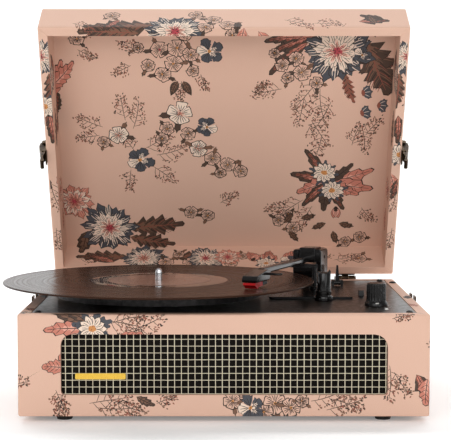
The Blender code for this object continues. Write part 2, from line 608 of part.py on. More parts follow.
def make_arm_rest(case):
    base_low = DECK_TOP + GAP
    flare = [(0, 107 * MM), (6.7 * MM, 107 * MM), (7 * MM, 104.5 * MM), (8 * MM, 100.5 * MM),
             (8.8 * MM, 99 * MM), (8.8 * MM, base_low), (0, base_low)]
    rest = turned("arm_rest", flare, case, "black_plastic", (ARM_REST_X, ARM_REST_Y, 0), sides=28)
    clip = [(-6.6, 104), (6.6, 104), (6.6, 131), (4.8, 131), (4.8, 122.5), (-4.8, 122.5), (-4.8, 125.4),
            (-6.6, 125.4)]
    join(rest, extruded("arm_clip", [(a * MM, b * MM) for a, b in clip], 9 * MM, case, "black_plastic",
                        (ARM_REST_X, ARM_REST_Y, 0), FACING_Y))


def make_arm(swing):
    """The lifting arm, drawn from its pivot: +X to its right, -Y along it to the headshell."""
    lift = empty("arm_lift_axis", (0, 0, ARM_LIFT_Z), swing)

    def at(x, y, z):
        return (x * MM, y * MM, z * MM - ARM_LIFT_Z)

    head = box("tonearm", at(-9.6, -10, 125.4), at(8.1, 9, 140.5), lift, "black_plastic")
    bevel(head, 1.2 * MM)
    tube = box("arm_tube", at(-3.75, -146, 126.5), at(3.75, -8, 132.3), lift, "black_plastic")
    bevel(tube, 1.6 * MM)
    weight = box("counterweight", at(-7.2, 8, 126.2), at(5.8, 30, 138), lift, "black_plastic")
    bevel(weight, 1.5 * MM)
    shell_side = [(138, 129.4), (141, 121.4), (175, 121.4), (175.5, 124.5), (173, 127.5), (160, 129.4),
                  (146, 131.4)]
    shell = extruded("headshell", [(-a * MM, b * MM - ARM_LIFT_Z) for a, b in shell_side], 15 * MM, lift,
                     "black_plastic", (0, 0, 0), FACING_X)
    bevel(shell, 0.8 * MM)
    finger = box("finger_lift", at(5, -150, 126.4), at(22, -146, 128.8), lift, "black_plastic")
    bevel(finger, 0.6 * MM)
    trunnion = rod("trunnion", 1.5 * MM, at(-15.5, 0, 131), at(13.6, 0, 131), lift, "black_plastic", "X", 16)
    join(head, tube, weight, shell, finger, trunnion)

    cartridge = box("cartridge", at(-5.5, -155.6, 117.2), at(5.5, -142, 121.1), lift, "black_plastic")
    bevel(cartridge, 0.5 * MM, 1)
    wedge = [(156, 121.1), (156, 117.4), (166.5, 117), (168.9, 115.6), (169.9, 115.6), (171.5, 117),
             (175.4, 119.2), (175.4, 121.1)]
    extruded("stylus", [(-a * MM, b * MM - ARM_LIFT_Z) for a, b in wedge], 12 * MM, lift,
             "stylus_red", (0, 0, 0), FACING_X)


# ---------------------------------------------------------------- controls, electronics and sockets
def make_controls(case):
    knob_axis = empty("knob_axis", (KNOB_X, KNOB_Y, 0), case)
    knob = [(0, 119.2), (6.6, 119.2), (7.6, 118.4), (8.2, 102.2), (10.2, 101), (10.8, 98.2), (3, 98.2),
            (3, 86), (0, 86)]
    turned("volume_knob", [(r * MM, z * MM) for r, z in knob], knob_axis, "black_plastic", sides=36)
    pot = box("volume_pot", (KNOB_X - 9 * MM, KNOB_Y - 9 * MM, 82 * MM),
              (KNOB_X + 9 * MM, KNOB_Y + 9 * MM, 94.4 * MM), case, "steel")
    cut(pot, rod("pot_bore", 3.4 * MM, (KNOB_X, KNOB_Y, 85.5 * MM), (KNOB_X, KNOB_Y, 98 * MM), case,
                 "steel", sides=20))

    for name, x, y in (("speed_lever", SPEED_X, SPEED_Y), ("autostop_slider", AUTOSTOP_X, AUTOSTOP_Y)):
        cap = [(-3.6, 97.8), (3.6, 97.8), (2.6, 103.5), (-2.6, 103.5)]
        slider = extruded(name, [(a * MM, b * MM) for a, b in cap], 5.2 * MM, case, "black_plastic",
                          (x, y, 0), FACING_X)
        join(slider, box("slider_stem", (x - 1.4 * MM, y - 2.6 * MM, 92 * MM),
                         (x + 1.4 * MM, y + 2.6 * MM, 98.5 * MM), case, "black_plastic"))

    board_low = 22 * MM
    floor = BOTTOM_PANEL_UNDER + BOTTOM_PANEL_THICKNESS + GAP
    board = box("circuit_board", (50 * MM, 190 * MM, board_low), (150 * MM, 260 * MM, board_low + 1.6 * MM),
                case, "circuit")
    for x, y in ((55, 195), (145, 195), (55, 255), (145, 255)):
        join(board, rod("standoff", 2.5 * MM, (x * MM, y * MM, floor), (x * MM, y * MM, board_low + 1 * MM),
                        case, "circuit", sides=10))
    for x, y, radius, height in ((75, 215, 5, 14), (89, 215, 5, 14), (128, 240, 4, 10)):
        join(board, rod("capacitor", radius * MM, (x * MM, y * MM, board_low + 1 * MM),
                        (x * MM, y * MM, board_low + height * MM), case, "circuit", sides=14))
    join(board, box("heat_sink", (100 * MM, 205 * MM, board_low + 1 * MM),
                    (122 * MM, 212 * MM, board_low + 20 * MM), case, "circuit"))


def make_sockets(case):
    """The panel recessed in the rear wall, with the twin line-out sockets and the power inlet."""
    front, back = CASE_DEPTH - 4.4 * MM, CASE_DEPTH - 2.4 * MM
    panel = box("jack_panel", (JACK_X - 42 * MM + GAP, front, JACK_Z - 15 * MM + GAP),
                (JACK_X + 42 * MM - GAP, back, JACK_Z + 15 * MM - GAP), case, "black_plastic")
    line_spots = [JACK_X - 22 * MM, JACK_X - 6 * MM]
    inlet_x = JACK_X + 24 * MM
    for x in line_spots:
        cut(panel, rod("line_hole", 4.6 * MM, (x, front - 2 * MM, JACK_Z), (x, back + 2 * MM, JACK_Z), case,
                       "black_plastic", "Y", 20))
    cut(panel, rod("inlet_hole", 5 * MM, (inlet_x, front - 2 * MM, JACK_Z), (inlet_x, back + 2 * MM, JACK_Z),
                   case, "black_plastic", "Y", 20))
    block = box("line_out_block", (line_spots[0] - 7 * MM, front - 16 * MM, JACK_Z - 7 * MM),
                (line_spots[1] + 7 * MM, front - GAP, JACK_Z + 7 * MM), case, "black_plastic")
    for x in line_spots:
        join(block, rod("line_barrel", 4.2 * MM, (x, front - 2 * MM, JACK_Z), (x, back + 7.6 * MM, JACK_Z),
                        case, "black_plastic", "Y", 20))
    for x in line_spots:
        cut(block, rod("line_bore", 1.6 * MM, (x, back - 1 * MM, JACK_Z), (x, back + 12 * MM, JACK_Z),
                       case, "black_plastic", "Y", 12))
    inlet = [(0, -1), (0.9, -1.4), (1, -9), (2.8, -9), (2.8, 0), (4.6, 0), (4.6, -14), (0, -14)]
    turned("power_inlet", [(r * MM, z * MM) for r, z in inlet], case, "black_plastic",
           (inlet_x, back, JACK_Z), "Y", 20)


# ---------------------------------------------------------------- carrying handle
def make_handle(case):
    y, z = CASE_DEPTH + HANDLE_OUT, HANDLE_Z
    face = CASE_DEPTH + GAP
    for side, across in (("left", -1), ("right", 1)):
        inner, outer = across * (HANDLE_X + 5 * MM), across * (HANDLE_X + 9 * MM)
        xs = sorted((inner, across * (HANDLE_X + 16 * MM)))
        bracket = box(f"handle_bracket_{side}", (xs[0], face, z - 9 * MM), (xs[1], face + 1.6 * MM, z + 9 * MM),
                      case, "bronze")
        ears = sorted((inner, outer))
        join(bracket, box("bracket_ear", (ears[0], face + 0.5 * MM, z - 4.5 * MM),
                          (ears[1], y + 3.5 * MM, z + 4.5 * MM), case, "bronze"))
        pin = sorted((across * (HANDLE_X - 3.2 * MM), across * (HANDLE_X + 6 * MM)))
        join(bracket, rod("bracket_pin", 1.7 * MM, (pin[0], y, z), (pin[1], y, z), case, "bronze", "X", 16))

    pivot = empty("handle_pivot", (0, y, z), case)
    drop, grip = 27 * MM, 4.6 * MM
    curve = bpy.data.curves.new("handle", "CURVE")
    curve.dimensions = "3D"
    curve.bevel_depth = grip
    curve.bevel_resolution = 3
    curve.use_fill_caps = True
    bend = 14 * MM
    left = arc((-HANDLE_X + bend, -drop + bend), bend, pi, 1.5 * pi, 5)
    right = arc((HANDLE_X - bend, -drop + bend), bend, 1.5 * pi, 2 * pi, 5)
    path = [(-HANDLE_X, 0), *left, *right, (HANDLE_X, 0)]
    spline = curve.splines.new("POLY")
    spline.points.add(len(path) - 1)
    for point, (a, b) in zip(spline.points, path):
        point.co = (a, 0, b, 1)
    handle = curve_to_mesh("handle", curve, pivot, "black_plastic", (0, 0, 0), (0, 0, 0))
    for across in (-1, 1):
        ends = sorted((across * (HANDLE_X - 4.4 * MM), across * (HANDLE_X + 4.65 * MM)))
        join(handle, rod("handle_eye", 5.2 * MM, (ends[0], 0, 0), (ends[1], 0, 0), pivot,
                         "black_plastic", "X", 20))
    for across in (-1, 1):
        ends = sorted((across * (HANDLE_X - 3.6 * MM), across * (HANDLE_X + 8 * MM)))
        cut(handle, rod("eye_bore", 2.1 * MM, (ends[0], 0, 0), (ends[1], 0, 0), pivot,
                        "black_plastic", "X", 16))


# ---------------------------------------------------------------- the whole object
def make_record_player():
    case = empty("case_frame", CASE_ORIGIN)
    make_case(case)
    make_grille(case)
    make_drive(case)
    make_tonearm(case)
    make_controls(case)
    make_sockets(case)
    make_handle(case)
    make_lid(case)


make_record_player()
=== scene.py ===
"""Suitcase record player: the looks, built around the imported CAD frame."""

import math
import random

import bmesh
import bpy
import numpy as np
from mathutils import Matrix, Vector
from mathutils.geometry import delaunay_2d_cdt


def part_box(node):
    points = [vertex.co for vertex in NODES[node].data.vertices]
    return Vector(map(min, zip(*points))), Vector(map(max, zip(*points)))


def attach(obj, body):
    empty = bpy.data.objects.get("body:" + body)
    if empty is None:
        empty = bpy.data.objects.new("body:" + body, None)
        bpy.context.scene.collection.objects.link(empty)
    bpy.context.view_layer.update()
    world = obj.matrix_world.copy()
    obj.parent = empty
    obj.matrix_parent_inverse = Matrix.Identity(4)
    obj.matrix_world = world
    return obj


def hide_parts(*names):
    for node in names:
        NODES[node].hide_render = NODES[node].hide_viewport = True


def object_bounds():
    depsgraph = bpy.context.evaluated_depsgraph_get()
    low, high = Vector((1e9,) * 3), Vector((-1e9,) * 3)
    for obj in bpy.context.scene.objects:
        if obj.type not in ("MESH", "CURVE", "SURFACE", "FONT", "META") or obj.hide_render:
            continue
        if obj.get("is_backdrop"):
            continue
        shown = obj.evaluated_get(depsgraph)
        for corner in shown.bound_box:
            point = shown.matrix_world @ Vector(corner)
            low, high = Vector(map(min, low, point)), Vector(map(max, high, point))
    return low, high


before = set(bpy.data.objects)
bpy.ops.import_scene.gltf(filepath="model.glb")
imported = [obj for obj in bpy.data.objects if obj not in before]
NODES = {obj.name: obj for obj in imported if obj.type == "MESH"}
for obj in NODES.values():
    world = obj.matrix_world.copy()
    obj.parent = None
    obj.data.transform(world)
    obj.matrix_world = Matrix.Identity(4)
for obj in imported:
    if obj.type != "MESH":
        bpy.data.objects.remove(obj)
CAD_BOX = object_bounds()
MM = 0.001


def centre(node):
    low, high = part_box(node)
    return (Vector(low) + Vector(high)) / 2


# ---------------------------------------------------------------- dimensions

CASE_LOW, CASE_HIGH = (Vector(corner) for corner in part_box("case_body"))
CASE_X = (CASE_LOW.x + CASE_HIGH.x) / 2
CASE_HALF = (CASE_HIGH.x - CASE_LOW.x) / 2
CASE_DEPTH = CASE_HIGH.y - CASE_LOW.y
CASE_HEIGHT = CASE_HIGH.z - CASE_LOW.z
HINGE = centre("hinge_pin_left")
LID_OPEN = math.radians(61.8)
LID_TALL = 45.5 * MM
LID_WALL = 9.5 * MM
CASE_WALL = 10.5 * MM
LID_PANEL = 4 * MM
RIM_GAP = 1 * MM
SPINDLE = centre("spindle")


# ----------------------------------------------------------------- materials


def linear(*levels):
    """A colour given in sRGB bytes, as Blender wants it."""
    shares = (level / 255 for level in levels)
    return tuple(s / 12.92 if s <= 0.04045 else ((s + 0.055) / 1.055) ** 2.4 for s in shares) + (1.0,)


class Surface:
    """A Principled material with a few procedural parts added to it."""

    def __init__(self, name, **sockets):
        self.material = bpy.data.materials.new(name)
        self.material.use_nodes = True
        self.tree = self.material.node_tree
        self.shader = self.tree.nodes["Principled BSDF"]
        self.height = None
        self.put(self.shader, **sockets)

    def node(self, kind, **settings):
        node = self.tree.nodes.new("ShaderNode" + kind)
        for key, value in settings.items():
            setattr(node, key, value)
        return node

    def fill(self, target, value):
        """Sets a socket, or links it when the value is another node's output."""
        if isinstance(value, bpy.types.NodeSocket):
            self.tree.links.new(value, target)
        else:
            target.default_value = value

    def put(self, node, **sockets):
        """Fills a node's sockets by name, an underscore standing for a space."""
        for socket, value in sockets.items():
            self.fill(node.inputs[socket.replace("_", " ")], value)
        return node

    def place(self, scale, attribute=None):
        """Where a texture is read: the mesh's own coordinates or a stored sheet."""
        mapping = self.node("Mapping")
        if attribute:
            source = self.node("Attribute", attribute_name=attribute).outputs["Vector"]
        else:
            source = self.node("TexCoord").outputs["Object"]
        return self.put(mapping, Scale=scale, Vector=source).outputs["Vector"]

    def noise(self, size, detail=2.0, stretch=(1, 1, 1), attribute=None, rough=0.5):
        """Noise whose blotches are about size metres across."""
        noise = self.node("TexNoise")
        place = self.place(tuple(part / size for part in stretch), attribute)
        return self.put(noise, Scale=1.0, Detail=detail, Roughness=rough, Vector=place).outputs["Fac"]

    def cells(self, size):
        cells = self.node("TexVoronoi", feature="F1")
        return self.put(cells, Scale=1.0, Vector=self.place((1 / size,) * 3)).outputs["Distance"]

    def bands(self, size, direction, attribute=None):
        """Even ridges across one direction."""
        bands = self.node("TexWave", bands_direction=direction)
        self.put(bands, Scale=0.314 / size, Distortion=0.6, Detail=1.0)
        return self.put(bands, Vector=self.place((1, 1, 1), attribute)).outputs["Fac"]

    def ranged(self, value, low, high, start=0.3, end=0.7):
        """A value brought from start to end on to low to high."""
        node = self.put(self.node("MapRange"), Value=value, From_Min=start, From_Max=end)
        return self.put(node, To_Min=low, To_Max=high).outputs["Result"]

    def blended(self, value, first, second):
        """A colour between two, by value."""
        mix = self.put(self.node("Mix", data_type="RGBA"), Factor=value)
        colours = [socket for socket in mix.inputs if socket.type == "RGBA"]
        self.fill(colours[0], first)
        self.fill(colours[1], second)
        return next(socket for socket in mix.outputs if socket.type == "RGBA")

    def colour(self, value, first, second):
        self.put(self.shader, Base_Color=self.blended(value, first, second))

    def roughness(self, value, low, high):
        self.put(self.shader, Roughness=self.ranged(value, low, high))

    def bump(self, value, distance, strength=1.0):
        """Adds a bump of distance metres over any already there."""
        bump = self.put(self.node("Bump"), Distance=distance, Strength=strength, Height=value)
        if self.height is not None:
            self.put(bump, Normal=self.height)
        self.height = bump.outputs["Normal"]
        self.put(self.shader, Normal=self.height)

    def worn(self, tone, edges, radius=0.0008):
        """The tone as base colour, rubbed to another along the piece's edges."""
        if edges is None:
            return self.put(self.shader, Base_Color=tone)
        bevel = self.put(self.node("Bevel", samples=4), Radius=radius).outputs["Normal"]
        plain = self.node("NewGeometry").outputs["Normal"]
        dot = self.node("VectorMath", operation="DOT_PRODUCT")
        self.fill(dot.inputs[0], bevel)
        self.fill(dot.inputs[1], plain)
        self.colour(self.ranged(dot.outputs["Value"], 1.0, 0.0, 0.75, 0.99), tone, edges)


def plastic(name, dark, light, rough, grain=0.00035, depth=0.00002, **sockets):
    surface = Surface(name, **sockets)
    surface.colour(surface.noise(0.012, 3), linear(*dark), linear(*light))
    surface.roughness(surface.noise(0.004, 4), rough - 0.06, rough + 0.08)
    surface.bump(surface.cells(grain), depth)
    return surface.material


def metal(name, dark, light, rough, grain=0.0015, depth=0.00002, edges=None):
    surface = Surface(name, Metallic=1.0)
    blotches = surface.ranged(surface.noise(0.004, 5, rough=0.65), 0, 1, 0.35, 0.65)
    surface.worn(surface.blended(blotches, linear(*dark), linear(*light)), edges)
    surface.roughness(surface.noise(0.0025, 5), rough - 0.08, rough + 0.14)
    surface.bump(surface.noise(grain, 4), depth)
    return surface.material


def papered(name, first, second):
    """The printed leatherette paper, in one ink."""
    surface = Surface(name, Specular_IOR_Level=0.35)
    fine = surface.noise(0.0009, 3, (1, 4.5, 1), "sheet", 0.7)
    surface.colour(surface.ranged(fine, 0, 1, 0.36, 0.66), linear(*first), linear(*second))
    surface.roughness(surface.noise(0.0016, 3, (1, 2, 1), "sheet"), 0.53, 0.72)
    surface.bump(surface.bands(0.00055, "Y", "sheet"), 0.00003, 0.5)
    surface.bump(surface.noise(0.0005, 3, (1, 1.6, 1), "sheet"), 0.00004, 0.6)
    return surface.material


def moulded(name, dark, light, rough, coat=0.0):
    """Glossy or satin moulded plastic with fine scratches and rubbed edges."""
    surface = Surface(name, Coat_Weight=coat, Coat_Roughness=0.08, Specular_IOR_Level=0.3)
    light = linear(*light)
    tone = surface.blended(surface.noise(0.01, 4), linear(*dark), light)
    rubbed = tuple(min(2.6 * part + 0.002, 1.0) for part in light[:3]) + (1.0,)
    surface.worn(tone, rubbed, 0.0005)
    surface.roughness(surface.noise(0.0016, 5, rough=0.7), rough - 0.07, rough + 0.1)
    surface.bump(surface.cells(0.0005), 0.00001, 0.5)
    surface.bump(surface.noise(0.02, 2), 0.0003, 0.25)
    return surface.material


def fibrous(name, dark, light, size, rough=0.95, depth=0.0004):
    """Felt, paper pulp or pressed board."""
    surface = Surface(name)
    surface.colour(surface.noise(size * 2, 5, rough=0.7), linear(*dark), linear(*light))
    surface.roughness(surface.noise(size, 3), rough - 0.12, rough)
    surface.bump(surface.noise(size, 6, rough=0.8), depth)
    surface.bump(surface.cells(size * 0.6), depth / 3)
    return surface.material


def brushed(name, dark, light, rough, edges=None, stretch=(1, 1, 14)):
    """Metal drawn or turned in one direction."""
    surface = Surface(name, Metallic=1.0)
    streaks = surface.noise(0.003, 5, stretch)
    surface.worn(surface.blended(streaks, linear(*dark), linear(*light)), edges, 0.0007)
    surface.roughness(surface.noise(0.0012, 5, stretch), rough - 0.05, rough + 0.12)
    surface.bump(surface.noise(0.0008, 3, stretch), 0.00002, 0.6)
    return surface.material


def grooved_vinyl():
    """The playing surface: rings too fine to see, in bands of louder and quieter music."""
    surface = Surface("vinyl_grooves", Specular_IOR_Level=0.3, IOR=1.22)
    # painted reflection: the warm brown in this near-black base colour stands in for the pink lid mirrored in
    # the vinyl
    surface.colour(surface.noise(0.03, 3), linear(44, 27, 19), linear(58, 37, 27))
    radial = surface.node("VectorMath", operation="LENGTH")
    surface.fill(radial.inputs[0], surface.place((1, 1, 0)))
    along = surface.put(surface.node("CombineXYZ"), X=radial.outputs["Value"]).outputs["Vector"]
    bands = surface.put(surface.node("TexNoise"), Scale=420, Detail=5, Vector=along).outputs["Fac"]
    surface.roughness(bands, 0.2, 0.32)
    rings = surface.node("TexWave", wave_type="RINGS", rings_direction="Z")
    surface.put(rings, Scale=500, Vector=surface.place((1, 1, 1)))
    surface.bump(rings.outputs["Fac"], 0.00002, 0.35)
    surface.bump(bands, 0.0001, 0.25)
    return surface.material


def smooth_vinyl():
    """The run-in, the run-out and the rim."""
    surface = Surface("vinyl_smooth", Specular_IOR_Level=0.75, Coat_Weight=0.5, Coat_Roughness=0.03)
    # painted reflection: the warm brown in this near-black base colour stands in for the pink lid mirrored in
    # the vinyl
    surface.colour(surface.noise(0.02, 3), linear(38, 27, 23), linear(50, 36, 30))
    surface.roughness(surface.noise(0.004, 5), 0.04, 0.12)
    surface.bump(surface.noise(0.03, 2), 0.0002, 0.2)
    return surface.material


def label_paper():
    surface = Surface("label_paper", Coat_Weight=0.6, Coat_Roughness=0.1)
    # painted reflection: this grey-rose base colour mixes the label paper's own tone with the pink lid's
    # reflection painted in
    printed = surface.blended(surface.noise(0.006, 3), linear(142, 104, 90), linear(162, 120, 104))
    surface.colour(surface.cells(0.0011), printed, linear(166, 126, 110))
    surface.roughness(surface.noise(0.003, 4), 0.24, 0.4)
    surface.bump(surface.noise(0.0009, 4), 0.00003)
    return surface.material


def speaker_cloth():
    surface = Surface("speaker_cloth", Specular_IOR_Level=0.12)
    surface.colour(surface.noise(0.0012, 4), linear(9, 6, 4), linear(22, 17, 13))
    surface.roughness(surface.noise(0.001, 3), 0.72, 0.92)
    surface.bump(surface.bands(0.0005, "X"), 0.00008)
    surface.bump(surface.bands(0.0005, "Z"), 0.00008)
    return surface.material


def gold_thread():
    surface = Surface("gold_thread", Specular_IOR_Level=0.6)
    surface.colour(surface.noise(0.002, 4), linear(206, 194, 164), linear(230, 221, 198))
    surface.roughness(surface.noise(0.001, 3), 0.36, 0.56)
    surface.bump(surface.noise(0.0004, 3), 0.00006)
    return surface.material


def backdrop_paper():
    surface = Surface("backdrop_paper", Roughness=0.9, Emission_Strength=0.19)
    surface.put(surface.shader, Emission_Color=(1, 1, 1, 1))
    surface.colour(surface.noise(0.4, 2), linear(247, 247, 247), linear(244, 244, 244))
    return surface.material


INKS = {
    "ground": papered("wrap_ground", (223, 184, 163), (214, 173, 151)),
    "line": papered("ink_line", (56, 40, 33), (40, 28, 23)),
    "slate": papered("ink_slate", (86, 87, 92), (56, 58, 65)),
    "cream": papered("ink_cream", (238, 217, 198), (229, 204, 184)),
    "blush": papered("ink_blush", (228, 172, 152), (214, 150, 132)),
    "coral": papered("ink_coral", (206, 134, 114), (186, 112, 94)),
    "rust": papered("ink_rust", (150, 86, 68), (128, 70, 56)),
    "brown": papered("ink_brown", (86, 66, 54), (66, 50, 42)),
    "umber": papered("ink_umber", (128, 94, 74), (108, 76, 60)),
    "rose": papered("ink_rose", (186, 74, 82), (166, 60, 68)),
    "amber": papered("ink_amber", (210, 146, 84), (196, 128, 66)),
}
INK_ORDER = list(INKS)

GLOSS = moulded("gloss_black", (9, 8, 8), (17, 14, 13), 0.15, 0.2)
SATIN = moulded("satin_black", (11, 10, 10), (20, 18, 18), 0.27)
RED = moulded("stylus_red", (170, 16, 22), (196, 28, 32), 0.22, 0.4)
COARSE = plastic(
    "coarse_black", (15, 14, 14), (25, 23, 23), 0.45, 0.0006, 0.00006, Specular_IOR_Level=0.35
)
DECK = plastic("deck_black", (24, 18, 15), (34, 26, 22), 0.34, 0.0007, 0.00003, Specular_IOR_Level=0.4)
RUBBER = plastic("black_rubber", (17, 16, 16), (27, 26, 25), 0.72, 0.0008, 0.00008)
CIRCUIT = plastic("circuit_green", (20, 58, 38), (32, 76, 50), 0.42, 0.003, 0.0001)
PAINT = plastic("dial_white", (214, 212, 206), (232, 230, 224), 0.5)
BRONZE = metal("aged_bronze", (34, 27, 22), (60, 47, 35), 0.36, edges=linear(132, 108, 76))
STEEL = metal("zinc_steel", (112, 114, 116), (152, 154, 156), 0.34)
CAST = metal("cast_platter", (42, 41, 41), (62, 60, 60), 0.4, 0.0008, 0.00004)
CHROME = brushed("polished_chrome", (196, 196, 198), (222, 222, 224), 0.1)
GOLD = brushed("badge_gold", (214, 170, 62), (240, 200, 92), 0.26, linear(250, 222, 132), (14, 1, 1))
BOARD = fibrous("pressed_board", (84, 64, 46), (120, 94, 68), 0.0012, 0.85)
CONE = fibrous("pulp_cone", (26, 24, 22), (42, 39, 36), 0.0008)
FELT = fibrous("black_felt", (20, 18, 18), (34, 31, 30), 0.0007)

# the CAD nodes that stay visible, by the start of their names
FINISHES = {
    GLOSS: "arm_rest arm_yoke tonearm cartridge",
    SATIN: "arm_plate cue_lever lift_bar speed_lever autostop_slider line_out_block power_inlet",
    COARSE: "jack_panel handle",
    DECK: "deck_plate",
    RUBBER: "drive_belt foot_ rim_bumper",
    CIRCUIT: "circuit_board",
    RED: "stylus",
    BRONZE: "base_catch base_hinge hinge_pin latch_ lid_hinge handle_bracket",
    STEEL: "motor volume_pot speaker_frame",
    CAST: "platter",
    CHROME: "spindle",
    GOLD: "badge_bar",
    BOARD: "bottom_panel speaker_baffle",
    CONE: "speaker_cone",
}
for finish, starts in FINISHES.items():
    for name, node in NODES.items():
        if name.startswith(tuple(starts.split())):
            node.data.materials.clear()
            node.data.materials.append(finish)


# --------------------------------------------------------------- floral print


def rotated(points, degrees):
    cos, sin = math.cos(math.radians(degrees)), math.sin(math.radians(degrees))
    return np.asarray(points, float) @ np.array([[cos, sin], [-sin, cos]])


def along(length, bend, t):
    """A place on a bent middle line."""
    return length * t, bend * length * t * t


# a small pointed shape, one long and one wide
DASH = (0, 0), (0.35, -0.5), (0.75, -0.35), (1, 0), (0.75, 0.35), (0.35, 0.5)


class Artwork:
    """Flat printed shapes, later ones over earlier ones, in millimetres."""

    def __init__(self, seed):
        self.random = random.Random(seed)
        self.shapes = []

    def at(self, x, y, turn=0.0):
        """Where the shapes that follow are printed, and how far they are turned."""
        self.origin, self.turn = (x, y), turn

    def add(self, ink, points, angle=0.0, shift=(0, 0)):
        points = rotated(points, angle) + shift
        self.shapes.append((INK_ORDER.index(ink), rotated(points, self.turn) + self.origin))

    def outlined(self, ink, shape, grow, angle=0.0):
        self.add("line", shape * grow, angle)
        self.add(ink, shape, angle)

    def about(self, value, share=0.12):
        return value * self.random.uniform(1 - share, 1 + share)

    def many(self, kind, places, *rest, **named):
        for place in places:
            getattr(self, kind)(*place, *rest, **named)

    # ---- strokes and single shapes

    def stroke(self, ink, path, width, angle=0.0):
        """A pen line that thins towards its ends."""
        path = rotated(path, angle)
        ahead = np.gradient(path, axis=0)
        across = np.stack([-ahead[:, 1], ahead[:, 0]], 1)
        across /= np.maximum(np.linalg.norm(across, axis=1), 1e-9)[:, None]
        swell = 0.4 + 0.6 * np.sin(np.pi * np.linspace(0.08, 0.92, len(path)))
        half = (width / 2 * swell)[:, None]
        self.add(ink, np.vstack([path + across * half, (path - across * half)[::-1]]))

    def blade(self, length, width, teeth=0, bite=0.3, bend=0.0, full=0.75):
        """A leaf or petal outline from its foot to its tip, with saw teeth."""
        count = max(2 * teeth, 7)
        t = np.linspace(0, 1, count + 1)[1:-1]
        half = width / 2 * np.sin(np.pi * t**full) ** 0.9
        sides = []
        for sign in (1, -1):
            w, x = half.copy(), t * length
            if teeth:
                w[1::2] *= 1 - bite
                x[0::2] += length / count * 0.55
                w *= np.array([self.random.uniform(0.86, 1.1) for _ in w])
            y = sign * w + bend * length * (x / length) ** 2
            sides.append(np.stack([x, y], 1))
        return np.vstack([[(0, 0)], sides[1], [(length, bend * length)], sides[0][::-1]])

    def curls(self, radius, ink, count):
        """Short bent strokes round a flower's heart."""
        for k in range(count):
            angle = 360 * k / count + self.random.uniform(-14, 14)
            out = radius * self.random.uniform(0.5, 1.0)
            path = [(out * 0.3, 0), (out * 0.75, out * 0.22), (out, -out * 0.1)]
            self.stroke(ink, path, 0.9, angle)

    def stamens(self, radius, fill, dots, ink="line"):
        """A flower's heart with small six-sided dots on it."""
        steps = np.linspace(0, 2 * math.pi, 15)[:-1]
        rims = np.array([self.about(radius, 0.22) for _ in steps])
        self.add(fill, np.stack([rims * np.cos(steps), rims * np.sin(steps)], 1))
        for _ in range(dots):
            angle = self.random.uniform(0, 2 * math.pi)
            out = radius * math.sqrt(self.random.uniform(0, 1.1))
            x, y = out * math.cos(angle), out * math.sin(angle)
            steps = np.linspace(0, 2 * math.pi, 7)[:-1] + self.random.uniform(0, 1)
            self.add(ink, np.stack([x + 0.5 * np.cos(steps), y + 0.5 * np.sin(steps)], 1))

    def petal_ring(self, radius, count, width, tip, heart, share=0.6, streaks=3):
        """Ragged petals: a dark brushed tip, a pale heart and fine streaks."""
        first = self.random.uniform(0, 360)
        for k in range(count):
            angle = first + 360 * k / count + self.random.uniform(-7, 7)
            long = self.about(radius, 0.15)
            wide = self.about(width, 0.14)
            self.outlined(tip, self.blade(long, wide, 3, 0.16, full=1.2), (1.02, 1.14), angle)
            self.add(heart, self.blade(long * share, wide * 0.9, 5, 0.66, full=1.0), angle)
            for s in range(streaks):
                off = (s - (streaks - 1) / 2) * wide * 0.24
                if tip != heart:
                    reach = long * self.random.uniform(share + 0.08, 0.96)
                    path = [(long * share * 0.6, off * 0.8), (reach * 0.85, off * 1.1)]
                    self.stroke(heart, path + [(reach, off * 0.9)], 0.85, angle + 3)
                reach = long * self.about(share + 0.05, 0.2)
                path = [(long * 0.14, off * 0.4), (reach * 0.6, off * 0.9), (reach, off * 1.15)]
                self.stroke("line", path, 0.58, angle)

    # ---- flowers

    def dahlia(self, x, y, radius, turn=0, heart="rose"):
        self.at(x, y, turn)
        self.petal_ring(radius, 15, radius * 0.37, "slate", "cream", 0.5)
        self.petal_ring(radius * 0.86, 13, radius * 0.31, "slate", "cream", 0.68)
        self.petal_ring(radius * 0.62, 12, radius * 0.25, "cream", "cream", 0.8, 2)
        self.petal_ring(radius * 0.42, 9, radius * 0.2, "cream", "blush", 0.7, 2)
        self.curls(radius * 0.27, heart, 9)
        self.stamens(radius * 0.12, heart, 4)
        self.curls(radius * 0.17, "line", 5)

    def aster(self, x, y, radius):
        """A coral flower of narrow ragged petals."""
        self.at(x, y)
        self.petal_ring(radius, 13, radius * 0.4, "coral", "blush", 0.62)
        self.petal_ring(radius * 0.74, 11, radius * 0.32, "cream", "blush", 0.7, 2)
        self.petal_ring(radius * 0.48, 8, radius * 0.26, "blush", "coral", 0.6, 2)
        self.curls(radius * 0.3, "rose", 8)
        self.stamens(radius * 0.11, "rose", 3)

    def daisy(self, x, y, radius, turn=0):
        self.at(x, y, turn)
        for k in range(9):
            angle = 40 * k + self.random.uniform(-9, 9)
            back = self.blade(self.about(radius * 1.25, 0.1), radius * 0.42, 4, 0.24, full=1.2)
            self.outlined("slate", back, 1.04, angle)
        for k in range(12):
            angle = 30 * k + self.random.uniform(-5, 5)
            rim = self.blade(self.about(radius, 0.09), radius * 0.46, 0, full=1.3)
            self.add("line", rim * (1, 1.12), angle)
            self.add("cream", rim * 0.95, angle)
            for off in (-0.06 * radius, 0.07 * radius):
                path = [(radius * 0.3, off * 0.5), (radius * 0.5, off), (radius * 0.72, off)]
                self.stroke("line", path, 0.5, angle)
        self.stamens(radius * 0.25, "amber", 7, "rust")

